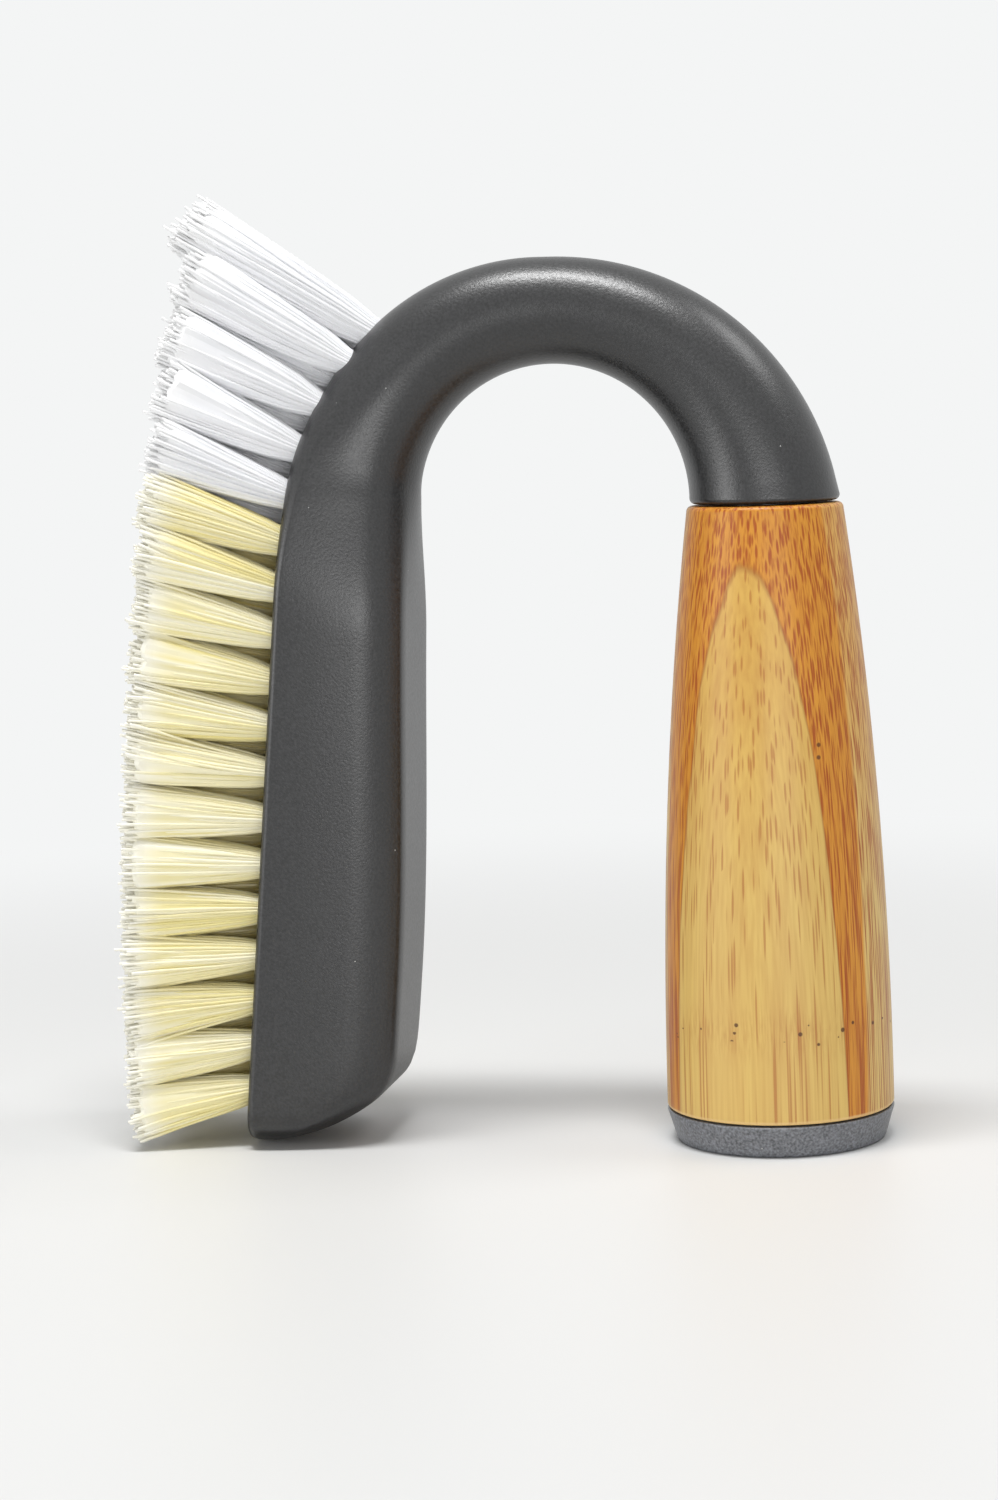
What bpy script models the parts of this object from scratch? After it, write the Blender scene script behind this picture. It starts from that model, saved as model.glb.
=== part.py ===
"""Grout brush: a moulded head with an arched neck, a turned bamboo grip and stapled bristle tufts.

Metres, +Z up. The brush stands on the heel of its head and on the foot of its end cap. The arch
of the neck lies in the XZ plane: the bristles point towards -X and the grip stands at +X. Every
piece is built about the axis of the grip, and the empty that carries them all then moves the
brush so that the middle of its footprint is at the origin.
"""

import math
import random

import bmesh
import bpy
from mathutils import Matrix, Vector
from mathutils.geometry import interpolate_bezier

# Clearance between two pieces that touch
FIT_GAP = 0.0003

# End cap
CAP_THICKNESS = 0.0056
CAP_DRAFT = 0.0014
CAP_EDGE_ROUND = 0.0007
CAP_PLUG_LENGTH = 0.009
CAP_PLUG_WALL = 0.0018
CAP_FLOOR = 0.0026

# Bamboo grip
GRIP_LENGTH = 0.1047
GRIP_TOP_RADIUS = 0.0135
GRIP_BASE_RADIUS = 0.0198
GRIP_FULLNESS = 2.1
GRIP_TOP_ROUND = 0.001
GRIP_FOOT_ROUND = 0.0005
GRIP_WEB = 0.022
GRIP_ACCESS_RADIUS = 0.0068

# Neck, from the joint with the grip over the crown to the head
NECK_STEP_IN = 0.0006
NECK_EDGE_ROUND = 0.001
NECK_CROWN_DIAMETER = 0.0184
TENON_RADIUS = 0.0076
TENON_LENGTH = 0.023
TENON_CHAMFER = 0.0008
PILOT_RUN_OUT = 0.003

# Finger gap between the head and the grip
GAP_HALF_WIDTH = 0.0239
GAP_CROWN_RISE = 0.0249

# Head
FACE_LEAN = math.radians(5.5)
FACE_RADIUS = 0.0454
HEAD_HALF_WIDTH = 0.017
HEAD_DEPTH = 0.0249
RIM_ROUND = 0.0014
SIDE_BULGE = 0.00034
SHOULDER_HALF_WIDTH = 0.0158
SHOULDER_DEPTH = 0.0165
SHOULDER_PULL = (0.45, 0.12)
CREASE_PULL = (0.17, 0.41)
BACK_HALF_WIDTH = 0.010
BACK_RUN = 0.085
FACE_FLARE_START = 0.032
FACE_FLARE_END = 0.018
BACK_FLARE_START = 0.008
BACK_FLARE_END = 0.024

# Heel
SOLE_RADIUS = 0.031
HEEL_RISE = 0.0075
HEEL_FULLNESS = 2.6
HEEL_CORNER_SHARPNESS = 12

# Bristle tufts
CREAM_TUFTS = 13
OUTER_ROW_TUFTS = 17
TUFT_RADIUS = 0.0023
TUFT_SEAT = 0.008
RIM_TO_TUFT = 0.0062
TOE_ROW_OFFSET = 0.0047
HEEL_TO_TUFT = 0.0102
TANGENT_TO_TIP_TUFT = 0.0316
BRISTLE_LENGTH = 0.025
TOE_BRISTLE_LENGTH = 0.0375
HEEL_TRIM = 0.0034
HEEL_TRIM_TUFTS = 8
HEEL_FAN = math.radians(-9)
TOE_FAN = math.radians(32.5)
ROW_LEAN = math.radians(6)
STRANDS_PER_TUFT = 8
STRAND_GAP = 0.0005
STRAND_TAPER = 0.6
TIP_SPLAY = 0.00154
STRAND_UNEVENNESS = 0.025

# Screw and washer inside the grip
SCREW_RADIUS = 0.0021
SCREW_BITE = 0.016
SCREW_POINT = 0.004
SCREW_HEAD_RADIUS = 0.004
SCREW_HEAD_HEIGHT = 0.003
SCREW_CROWN_RADIUS = 0.0028
SCREW_CROWN_HEIGHT = 0.0015
SCREW_RECESS_WIDTH = 0.001
SCREW_RECESS_SPAN = 0.0044
SCREW_RECESS_DEPTH = 0.0015
WASHER_CLEARANCE = 0.0008
WASHER_THICKNESS = 0.001

# How finely curves are cut into flats
TURNED_SIDES = 48
SMALL_SIDES = 20
ROUND_STEPS = 3
GRIP_STEPS = 12
NECK_STEPS = 20
TOE_STEPS = 9
HEAD_STEPS = 7
HEEL_STEPS = 8
LAST_NECK_ANGLE = math.radians(4)
HEEL_STATIONS_RISE = 0.013

# Levels and places that follow from the sizes
GRIP_FOOT = CAP_THICKNESS + FIT_GAP
GRIP_TOP = GRIP_FOOT + GRIP_LENGTH
JOINT_LEVEL = GRIP_TOP + FIT_GAP
CAP_RIM_RADIUS = GRIP_BASE_RADIUS
CAP_FOOT_RADIUS = CAP_RIM_RADIUS - CAP_DRAFT
NECK_END_RADIUS = GRIP_TOP_RADIUS - NECK_STEP_IN
SOCKET_RADIUS = TENON_RADIUS + FIT_GAP
WEB_TOP = GRIP_TOP - TENON_LENGTH
WEB_FOOT = WEB_TOP - GRIP_WEB
SCREW_HOLE_RADIUS = SCREW_RADIUS + FIT_GAP
PILOT_DEPTH = SCREW_BITE + PILOT_RUN_OUT
WASHER_RADIUS = GRIP_ACCESS_RADIUS - WASHER_CLEARANCE
ARCH_CENTRE = Vector((-GAP_HALF_WIDTH - NECK_END_RADIUS, 0, JOINT_LEVEL))
CROWN_RADIUS = GAP_CROWN_RISE + NECK_CROWN_DIAMETER
TANGENT_ANGLE = math.pi - FACE_LEAN
FACE_LENGTH = JOINT_LEVEL / math.cos(FACE_LEAN) + FACE_RADIUS * math.tan(FACE_LEAN)
TUFT_PITCH = (FACE_LENGTH - HEEL_TO_TUFT + TANGENT_TO_TIP_TUFT) / OUTER_ROW_TUFTS
HEAD_ROW_OFFSET = HEAD_HALF_WIDTH - RIM_TO_TUFT
ACROSS = Vector((0, 1, 0))

# sRGB colour, roughness and metallic value of each material
MATERIALS = {
    "moulded_grey": ((0.38, 0.38, 0.375), 0.45, 0.0),
    "cap_grey": ((0.47, 0.475, 0.50), 0.40, 0.0),
    "bamboo": ((0.86, 0.68, 0.42), 0.35, 0.0),
    "cream_bristle": ((0.92, 0.88, 0.68), 0.45, 0.0),
    "white_bristle": ((0.88, 0.89, 0.91), 0.45, 0.0),
    "zinc_steel": ((0.72, 0.73, 0.75), 0.30, 1.0),
}


def to_linear(channel):
    """One sRGB channel as the linear value that a shader takes."""
    if channel <= 0.04045:
        return channel / 12.92
    return ((channel + 0.055) / 1.055) ** 2.4


def make_materials():
    """Each material by its name."""
    made = {}
    for name, (colour, roughness, metallic) in MATERIALS.items():
        material = bpy.data.materials.new(name)
        material.use_nodes = True
        shader = material.node_tree.nodes["Principled BSDF"]
        shader.inputs["Base Color"].default_value = (*map(to_linear, colour), 1)
        shader.inputs["Roughness"].default_value = roughness
        shader.inputs["Metallic"].default_value = metallic
        made[name] = material
    return made


def add_object(name, shape, parent, material=None):
    """Makes an object from a bmesh, which it frees, shaded smooth but for its sharp edges."""
    mesh = bpy.data.meshes.new(name)
    shape.to_mesh(mesh)
    shape.free()
    mesh.shade_smooth()
    mesh.set_sharp_from_angle(angle=math.radians(35))
    if material:
        mesh.materials.append(material)
    item = bpy.data.objects.new(name, mesh)
    bpy.context.scene.collection.objects.link(item)
    item.parent = parent
    return item


def cut(item, name, shape):
    """Takes a shape, which it frees, out of an object."""
    cutter = add_object(name, shape, item.parent)
    cutter.hide_render = True
    cutter.display_type = "WIRE"
    item.modifiers.new(name, "BOOLEAN").object = cutter


def mix(start, end, share):
    """The value a share of the way from start to end."""
    return start + (end - start) * share


def ease(share):
    """Smooth step from 0 to 1."""
    share = min(max(share, 0.0), 1.0)
    return share * share * (3 - 2 * share)


def quarter(centre, radius, start=0.0):
    """Points of a quarter circle, anticlockwise from an angle."""
    angles = [start + math.pi / 2 * step / ROUND_STEPS for step in range(ROUND_STEPS + 1)]
    return [(centre[0] + radius * math.cos(a), centre[1] + radius * math.sin(a)) for a in angles]


def turned(profile, sides):
    """A solid of revolution about Z. The profile of (radius, height) points is a closed loop,
    or it starts and ends on the axis."""
    shape = bmesh.new()
    corners = [shape.verts.new((radius, 0, height)) for radius, height in profile]
    edges = [shape.edges.new(ends) for ends in zip(corners, corners[1:])]
    if profile[0][0] > 0:
        edges.append(shape.edges.new((corners[-1], corners[0])))
    bmesh.ops.spin(
        shape,
        geom=corners + edges,
        axis=(0, 0, 1),
        cent=(0, 0, 0),
        angle=2 * math.pi,
        steps=sides,
        use_merge=True,
    )
    bmesh.ops.remove_doubles(shape, verts=shape.verts, dist=1e-7)
    bmesh.ops.recalc_face_normals(shape, faces=shape.faces)
    return shape


# The run of the head and the neck. A place on it is given by its distance down the face of the
# head from where the straight face meets the round toe, which is negative on the toe. On the
# neck it is an angle about the centre of the arch, from 0 at the grip to pi at the head.


def gap_radius(angle):
    """Distance from the centre of the arch to the inside of the neck."""
    return mix(GAP_HALF_WIDTH, GAP_CROWN_RISE, math.sin(angle))


def outer_radius(angle):
    """Distance from the centre of the arch to its outside."""
    if angle > math.pi / 2:
        return mix(CROWN_RADIUS, FACE_RADIUS, math.cos(angle) / math.cos(TANGENT_ANGLE))
    thickness = mix(2 * NECK_END_RADIUS, NECK_CROWN_DIAMETER, math.sin(angle))
    return gap_radius(angle) + thickness


def toe_angle(down):
    """Angle about the centre of the arch at a distance down the face."""
    return TANGENT_ANGLE + min(down, 0) / FACE_RADIUS


def face_frame(down):
    """The middle of the face at a distance down it, and the direction square to it."""
    angle = toe_angle(down)
    outward = Vector((math.cos(angle), 0, math.sin(angle)))
    place = ARCH_CENTRE + outward * outer_radius(angle)
    downward = outward.cross(ACROSS)
    return place + downward * max(down, 0), outward


def face_flare(down):
    """How far the face has gone from the round neck (0) to the full head (1)."""
    return ease((down + FACE_FLARE_START) / (FACE_FLARE_START + FACE_FLARE_END))


def back_flare(down):
    """The same for the back, which leaves the round of the neck lower down than the face does."""
    return ease((down + BACK_FLARE_START) / (BACK_FLARE_START + BACK_FLARE_END))


def section_depth(down):
    """Thickness of the section from its face to its back."""
    angle = toe_angle(down)
    depth = outer_radius(angle) - gap_radius(angle)
    if down <= 0:
        return depth
    depth = mix(depth, HEAD_DEPTH, ease(down / BACK_RUN))
    slope = SOLE_RADIUS * math.tan(FACE_LEAN)
    to_sole = math.sqrt(slope**2 + 2 * SOLE_RADIUS * (FACE_LENGTH - down)) - slope
    power = HEEL_CORNER_SHARPNESS
    return (depth**-power + to_sole**-power) ** (-1 / power)


def face_half_width(down):
    """Half width of the full head, drawn in round the heel."""
    drop = max(1 - (FACE_LENGTH - down) / HEEL_RISE, 0)
    return HEAD_HALF_WIDTH * (1 - drop**HEEL_FULLNESS) ** (1 / HEEL_FULLNESS)


def curve(points, steps):
    """The points after the first on a cubic curve, from a knot, two handles and a knot."""
    return [point.to_2d() for point in interpolate_bezier(*points, steps + 1)[1:]]


def head_outline(half_width, depth):
    """Half a section of the head as (out, across), from the middle of its face to its back."""
    rim = min(RIM_ROUND, half_width / 3, depth / 3)
    shoulder_out = -SHOULDER_DEPTH * depth / HEAD_DEPTH
    shoulder_across = SHOULDER_HALF_WIDTH * half_width / HEAD_HALF_WIDTH
    crease_across = BACK_HALF_WIDTH * half_width / HEAD_HALF_WIDTH
    deep = depth + shoulder_out
    wide = shoulder_across - crease_across
    side = Vector((-rim, half_width))
    shoulder = Vector((shoulder_out, shoulder_across))
    crease = Vector((-depth, crease_across))
    along = (shoulder - side) / 3
    bulge = Vector((0, SIDE_BULGE * half_width / HEAD_HALF_WIDTH))
    points = [Vector((0, 0)), Vector((0, (half_width - rim) / 2))]
    points += [Vector(place) for place in quarter((-rim, half_width - rim), rim)]
    points += curve((side, side + along + bulge, shoulder - along + bulge, shoulder), ROUND_STEPS)
    turn_in = shoulder - Vector((SHOULDER_PULL[0] * deep, SHOULDER_PULL[1] * wide))
    turn_back = crease + Vector((CREASE_PULL[0] * deep, CREASE_PULL[1] * wide))
    points += curve((shoulder, turn_in, turn_back, crease), ROUND_STEPS + 1)
    points += [Vector((-depth, crease_across / 2)), Vector((-depth, 0))]
    return points


HALF_OUTLINE_POINTS = len(head_outline(HEAD_HALF_WIDTH, HEAD_DEPTH))


def tube_outline(diameter):
    """Half a round section as (out, across), with as many points as the head's has."""
    radius = diameter / 2
    steps = HALF_OUTLINE_POINTS - 1
    turns = [math.pi * step / steps for step in range(HALF_OUTLINE_POINTS)]
    return [Vector((radius * math.cos(turn) - radius, radius * math.sin(turn))) for turn in turns]


def head_section(down):
    """Half the section at a distance down the face, between the round neck and the full head."""
    depth = section_depth(down)
    half = []
    for tube, box in zip(tube_outline(depth), head_outline(face_half_width(down), depth)):
        share = mix(face_flare(down), back_flare(down), -box.x / depth)
        half.append(tube.lerp(box, share))
    return half


def ring(place, outward, half):
    """A whole section as a loop of points, from its half outline and the far half's mirror."""
    loop = half + [Vector((point.x, -point.y)) for point in half[-2:0:-1]]
    return [place + outward * point.x + ACROSS * point.y for point in loop]


def neck_ring(angle):
    """A round section of the neck at an angle about the centre of the arch."""
    outward = Vector((math.cos(angle), 0, math.sin(angle)))
    outside = outer_radius(angle)
    place = ARCH_CENTRE + outward * outside
    return ring(place, outward, tube_outline(outside - gap_radius(angle)))


def level_ring(radius, level):
    """A level circle about the axis of the grip."""
    return ring(Vector((radius, 0, level)), Vector((1, 0, 0)), tube_outline(2 * radius))


def head_and_neck_rings():
    """Sections of the moulding from its heel, over the crown, to the pilot hole of its tenon."""
    steps = range(1, HEEL_STEPS + 1)
    rises = [HEEL_STATIONS_RISE * (1 - math.cos(math.pi / 2 * k / HEEL_STEPS)) for k in steps]
    places = [FACE_LENGTH - rise for rise in rises]
    for count, end in ((HEAD_STEPS, BACK_FLARE_END), (TOE_STEPS, -FACE_FLARE_START)):
        start = places[-1]
        places += [mix(start, end, step / count) for step in range(1, count + 1)]
    rings = [ring(*face_frame(down), head_section(down)) for down in places]

    start = toe_angle(-FACE_FLARE_START)
    shares = [step / NECK_STEPS for step in range(1, NECK_STEPS + 1)]
    rings += [neck_ring(mix(start, LAST_NECK_ANGLE, share)) for share in shares]

    edge = NECK_EDGE_ROUND
    foot = JOINT_LEVEL - TENON_LENGTH
    turn = quarter((NECK_END_RADIUS - edge, JOINT_LEVEL + edge), edge, -math.pi / 2)
    rings += [level_ring(radius, level) for radius, level in reversed(turn)]
    rings.append(level_ring(TENON_RADIUS, JOINT_LEVEL))
    rings.append(level_ring(TENON_RADIUS, foot + TENON_CHAMFER))
    rings.append(level_ring(TENON_RADIUS - TENON_CHAMFER, foot))
    rings.append(level_ring(SCREW_HOLE_RADIUS, foot))
    rings.append(level_ring(SCREW_HOLE_RADIUS, foot + PILOT_DEPTH))
    return rings


def loft(rings):
    """A solid through the rings: each step extrudes the end face and moves its corners."""
    shape = bmesh.new()
    start = [shape.verts.new(point) for point in rings[0]]
    end = shape.faces.new(start)
    for points in rings[1:]:
        end = bmesh.ops.extrude_discrete_faces(shape, faces=[end])["faces"][0]
        for corner, point in zip(end.verts, points):
            corner.co = point
    shape.faces.new(start)
    bmesh.ops.recalc_face_normals(shape, faces=shape.faces)
    return shape


def grip_profile():
    """Outline of the bored grip, from the foot of its bore round the outside and back."""
    foot_edge = (GRIP_BASE_RADIUS - GRIP_FOOT_ROUND, GRIP_FOOT + GRIP_FOOT_ROUND)
    top_edge = (GRIP_TOP_RADIUS - GRIP_TOP_ROUND, GRIP_TOP - GRIP_TOP_ROUND)
    profile = [(GRIP_ACCESS_RADIUS, GRIP_FOOT)]
    profile += quarter(foot_edge, GRIP_FOOT_ROUND, -math.pi / 2)
    for step in range(1, GRIP_STEPS):
        share = step / GRIP_STEPS
        radius = mix(GRIP_BASE_RADIUS, GRIP_TOP_RADIUS, share**GRIP_FULLNESS)
        profile.append((radius, mix(foot_edge[1], top_edge[1], share)))
    profile += quarter(top_edge, GRIP_TOP_ROUND)
    profile.append((SOCKET_RADIUS, GRIP_TOP))
    profile.append((SOCKET_RADIUS, WEB_TOP))
    profile.append((SCREW_HOLE_RADIUS, WEB_TOP))
    profile.append((SCREW_HOLE_RADIUS, WEB_FOOT))
    profile.append((GRIP_ACCESS_RADIUS, WEB_FOOT))
    return profile


def cap_profile():
    """Outline of the end cap: a drafted foot with a hollow plug that fits the grip's bore."""
    edge = CAP_EDGE_ROUND
    plug = GRIP_ACCESS_RADIUS - FIT_GAP
    plug_top = CAP_THICKNESS + CAP_PLUG_LENGTH
    profile = [(0, 0)]
    profile += quarter((CAP_FOOT_RADIUS - edge, edge), edge, -math.pi / 2)
    profile.append((CAP_RIM_RADIUS, CAP_THICKNESS - edge / 2))
    profile.append((CAP_RIM_RADIUS - edge / 2, CAP_THICKNESS))
    profile.append((plug, CAP_THICKNESS))
    profile.append((plug, plug_top - edge))
    profile.append((plug - edge, plug_top))
    profile.append((plug - CAP_PLUG_WALL, plug_top))
    profile.append((plug - CAP_PLUG_WALL, CAP_FLOOR))
    profile.append((0, CAP_FLOOR))
    return profile


def screw_profile():
    """Outline of the screw, from the crown of its head, which faces down, to its point."""
    seat = WEB_FOOT - WASHER_THICKNESS - 2 * FIT_GAP
    head = seat - SCREW_HEAD_HEIGHT
    point = JOINT_LEVEL - TENON_LENGTH + SCREW_BITE
    return [
        (0, head),
        (SCREW_CROWN_RADIUS, head),
        (SCREW_HEAD_RADIUS, head + SCREW_CROWN_HEIGHT),
        (SCREW_HEAD_RADIUS, seat),
        (SCREW_RADIUS, seat),
        (SCREW_RADIUS, point - SCREW_POINT),
        (0, point),
    ]


def recess_shape():
    """Cutter for the cross recess in the underside of the screw's head."""
    seat = WEB_FOOT - WASHER_THICKNESS - 2 * FIT_GAP
    head = seat - SCREW_HEAD_HEIGHT
    arm = SCREW_RECESS_SPAN / 2
    half = SCREW_RECESS_WIDTH / 2
    corner = [(arm, -half), (arm, half), (half, half)]
    shape = bmesh.new()
    outline = []
    for turn in range(4):
        spin = Matrix.Rotation(turn * math.pi / 2, 2)
        outline += [spin @ Vector(place) for place in corner]
    level = head - SCREW_RECESS_DEPTH
    face = shape.faces.new([shape.verts.new((place.x, place.y, level)) for place in outline])
    grown = bmesh.ops.extrude_face_region(shape, geom=[face])["geom"]
    corners = [item for item in grown if isinstance(item, bmesh.types.BMVert)]
    bmesh.ops.translate(shape, verts=corners, vec=(0, 0, 2 * SCREW_RECESS_DEPTH))
    bmesh.ops.recalc_face_normals(shape, faces=shape.faces)
    return shape


def washer_profile():
    """Outline of the flat washer between the screw's head and the web of the grip."""
    top = WEB_FOOT - FIT_GAP
    foot = top - WASHER_THICKNESS
    hole = SCREW_HOLE_RADIUS
    return [(hole, foot), (WASHER_RADIUS, foot), (WASHER_RADIUS, top), (hole, top)]


class Tuft:
    """One tuft of bristles: where it stands on the face, which way it points and how long it is."""

    def __init__(self, name, level, side, material):
        """level counts pitches up the face from the outer rows' first tuft, and side is -1 for
        the near row, 1 for the far row and 0 for the middle."""
        down = FACE_LENGTH - HEEL_TO_TUFT - level * TUFT_PITCH
        half = head_section(down)
        across = mix(TOE_ROW_OFFSET, HEAD_ROW_OFFSET, face_flare(down)) if side else 0
        place, outward = face_frame(down)
        fan = mix(HEEL_FAN, TOE_FAN, level / OUTER_ROW_TUFTS)
        lean = side * ROW_LEAN * across / HEAD_ROW_OFFSET
        self.name = name
        self.material = material
        self.root = place + outward * out_at(half, across) + ACROSS * across * side
        self.direction = Vector(
            (-math.cos(fan) * math.cos(lean), math.sin(lean), math.sin(fan) * math.cos(lean))
        )
        self.length = tuft_length(level)

    def matrix(self):
        """The tuft's place, with its own +Z along the bristles."""
        turn = self.direction.to_track_quat("Z", "Y")
        return Matrix.Translation(self.root) @ turn.to_matrix().to_4x4()


def out_at(half, across):
    """How far out the surface of a section is at a distance across its face."""
    for near, far in zip(half, half[1:]):
        if near.y <= across <= far.y:
            return mix(near.x, far.x, (across - near.y) / (far.y - near.y))
    return half[0].x


def tuft_length(level):
    """Free length of the bristles: shorter at the heel, and long at the toe."""
    trim = HEEL_TRIM * max(1 - level / HEEL_TRIM_TUFTS, 0) ** 2
    toe_share = max(level - CREAM_TUFTS, 0) / (OUTER_ROW_TUFTS - CREAM_TUFTS)
    return mix(BRISTLE_LENGTH, TOE_BRISTLE_LENGTH, toe_share**2) - trim


def all_tufts():
    """Every tuft, from the heel up: cream in the outer rows, white in the middle and at the toe."""
    tufts = []
    for side, row in ((-1, "near"), (1, "far")):
        for level in range(CREAM_TUFTS):
            name = f"outer_tuft_{row}_{level + 1:02d}"
            tufts.append(Tuft(name, level, side, "cream_bristle"))
        for level in range(CREAM_TUFTS, OUTER_ROW_TUFTS):
            name = f"toe_tuft_{row}_{level - CREAM_TUFTS + 1}"
            tufts.append(Tuft(name, level, side, "white_bristle"))
    for step in range(OUTER_ROW_TUFTS - 1):
        tufts.append(Tuft(f"centre_tuft_{step + 1:02d}", step + 0.5, 0, "white_bristle"))
    tufts.append(Tuft("tip_tuft", OUTER_ROW_TUFTS, 0, "white_bristle"))
    return tufts


def tuft_shape(tuft, chance):
    """Strands that grow from the sectors of a root plug, which fills the tuft's hole."""
    shape = bmesh.new()
    bmesh.ops.create_cone(
        shape,
        cap_ends=True,
        segments=STRANDS_PER_TUFT,
        radius1=TUFT_RADIUS,
        radius2=TUFT_RADIUS,
        depth=TUFT_SEAT,
        matrix=Matrix.Translation((0, 0, -TUFT_SEAT / 2)),
    )
    top = max(shape.faces, key=lambda face: face.calc_center_median().z)
    sectors = bmesh.ops.poke(shape, faces=[top])["faces"]
    bmesh.ops.inset_individual(shape, faces=sectors, thickness=STRAND_GAP / 2)
    for strand in bmesh.ops.extrude_discrete_faces(shape, faces=sectors)["faces"]:
        root = strand.calc_center_median()
        height = tuft.length * (1 + chance.uniform(-1, 1) * STRAND_UNEVENNESS)
        tip = root + root.to_2d().normalized().to_3d() * TIP_SPLAY
        tip.z = height
        for corner in strand.verts:
            corner.co = tip + (corner.co - root) * STRAND_TAPER
    return shape


def hole_shapes(tufts):
    """Cutters for the tufts' holes, which run from clear of the face to below the root plugs."""
    shape = bmesh.new()
    clear = TUFT_RADIUS
    depth = TUFT_SEAT + FIT_GAP + clear
    radius = TUFT_RADIUS + FIT_GAP / math.cos(math.pi / STRANDS_PER_TUFT)
    for tuft in tufts:
        bmesh.ops.create_cone(
            shape,
            cap_ends=True,
            segments=STRANDS_PER_TUFT,
            radius1=radius,
            radius2=radius,
            depth=depth,
            matrix=tuft.matrix() @ Matrix.Translation((0, 0, clear - depth / 2)),
        )
    return shape


def centre_on_footprint(brush):
    """Moves the empty so that the middle of the brush's footprint is at the origin."""
    bpy.context.view_layer.update()
    pieces = [item for item in brush.children if not item.hide_render]
    corners = [piece.matrix_world @ v.co for piece in pieces for v in piece.data.vertices]
    for axis in (0, 1):
        places = [corner[axis] for corner in corners]
        brush.location[axis] = -(min(places) + max(places)) / 2
    bpy.context.view_layer.update()


def main():
    for item in list(bpy.data.objects):
        bpy.data.objects.remove(item)
    materials = make_materials()
    brush = bpy.data.objects.new("brush", None)
    bpy.context.scene.collection.objects.link(brush)

    tufts = all_tufts()
    moulding = loft(head_and_neck_rings())
    head = add_object("head_and_neck", moulding, brush, materials["moulded_grey"])
    cut(head, "tuft_holes", hole_shapes(tufts))

    grip = turned(grip_profile(), TURNED_SIDES)
    add_object("bamboo_grip", grip, brush, materials["bamboo"])
    cap = turned(cap_profile(), TURNED_SIDES)
    add_object("end_cap", cap, brush, materials["cap_grey"])
    washer = turned(washer_profile(), SMALL_SIDES)
    add_object("screw_washer", washer, brush, materials["zinc_steel"])
    screw = turned(screw_profile(), SMALL_SIDES)
    screw = add_object("grip_screw", screw, brush, materials["zinc_steel"])
    cut(screw, "cross_recess", recess_shape())

    chance = random.Random(1)
    for tuft in tufts:
        strands = tuft_shape(tuft, chance)
        item = add_object(tuft.name, strands, brush, materials[tuft.material])
        item.matrix_local = tuft.matrix()
    centre_on_footprint(brush)


main()
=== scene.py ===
"""Looks of the grout brush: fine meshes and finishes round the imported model, and its studio.

Metres, +Z up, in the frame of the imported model. The brush stands on the foot of its end cap and on
the heel of its head. The arch of its neck lies in the XZ plane: the bristles point towards -X and
the grip stands at +X. The near side, which the camera sees, is -Y.
"""

import logging
import math
import random
from dataclasses import dataclass
from enum import Enum

import bmesh
import bpy
from mathutils import Matrix, Vector
from mathutils.geometry import interpolate_bezier


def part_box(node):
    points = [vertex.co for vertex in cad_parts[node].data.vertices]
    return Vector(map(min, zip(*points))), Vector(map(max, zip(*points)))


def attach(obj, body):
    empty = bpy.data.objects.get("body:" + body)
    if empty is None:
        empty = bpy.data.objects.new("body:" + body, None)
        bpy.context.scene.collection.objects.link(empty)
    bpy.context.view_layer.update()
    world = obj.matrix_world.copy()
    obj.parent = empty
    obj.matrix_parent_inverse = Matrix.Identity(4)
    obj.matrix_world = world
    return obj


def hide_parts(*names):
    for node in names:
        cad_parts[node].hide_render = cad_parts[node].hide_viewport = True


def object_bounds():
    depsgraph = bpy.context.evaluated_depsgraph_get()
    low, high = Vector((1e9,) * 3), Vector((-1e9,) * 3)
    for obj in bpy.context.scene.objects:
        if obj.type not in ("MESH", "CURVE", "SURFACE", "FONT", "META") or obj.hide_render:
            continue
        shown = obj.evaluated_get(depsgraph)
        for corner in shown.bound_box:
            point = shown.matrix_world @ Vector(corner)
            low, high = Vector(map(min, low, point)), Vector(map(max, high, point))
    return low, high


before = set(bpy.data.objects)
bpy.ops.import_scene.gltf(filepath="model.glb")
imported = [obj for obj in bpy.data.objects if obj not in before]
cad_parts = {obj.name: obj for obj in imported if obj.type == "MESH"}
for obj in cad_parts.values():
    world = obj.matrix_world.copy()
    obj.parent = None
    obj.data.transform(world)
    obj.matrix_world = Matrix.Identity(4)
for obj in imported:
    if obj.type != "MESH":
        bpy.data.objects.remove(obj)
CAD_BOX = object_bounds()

LOG = logging.getLogger("grout_brush")
BODY = "root"
MM = 0.001
ACROSS = Vector((0, 1, 0))
MERGE_DISTANCE = 1e-7
SHARP_ANGLE = math.radians(35)

# Places of the share and of the two colours on a colour Mix node, whose sockets share names
MIX_FACTOR = 0
MIX_FIRST = 6
MIX_SECOND = 7
# What the values of a noise mostly lie between
NOISE_LOW = 0.3
NOISE_HIGH = 0.7


class Side(Enum):
    """Which row of the head a tuft stands in, as a sign across it."""

    NEAR = -1
    MIDDLE = 0
    FAR = 1


class Fibre(Enum):
    """The two nylon filaments, by the record's material slot."""

    CREAM = "cream_bristle"
    WHITE = "white_bristle"


def mix(start: float, end: float, share: float) -> float:
    """The value a share of the way from start to end."""
    return start + (end - start) * share


def ease(share: float) -> float:
    """Smooth step from 0 to 1."""
    share = min(max(share, 0.0), 1.0)
    return share * share * (3 - 2 * share)


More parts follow.
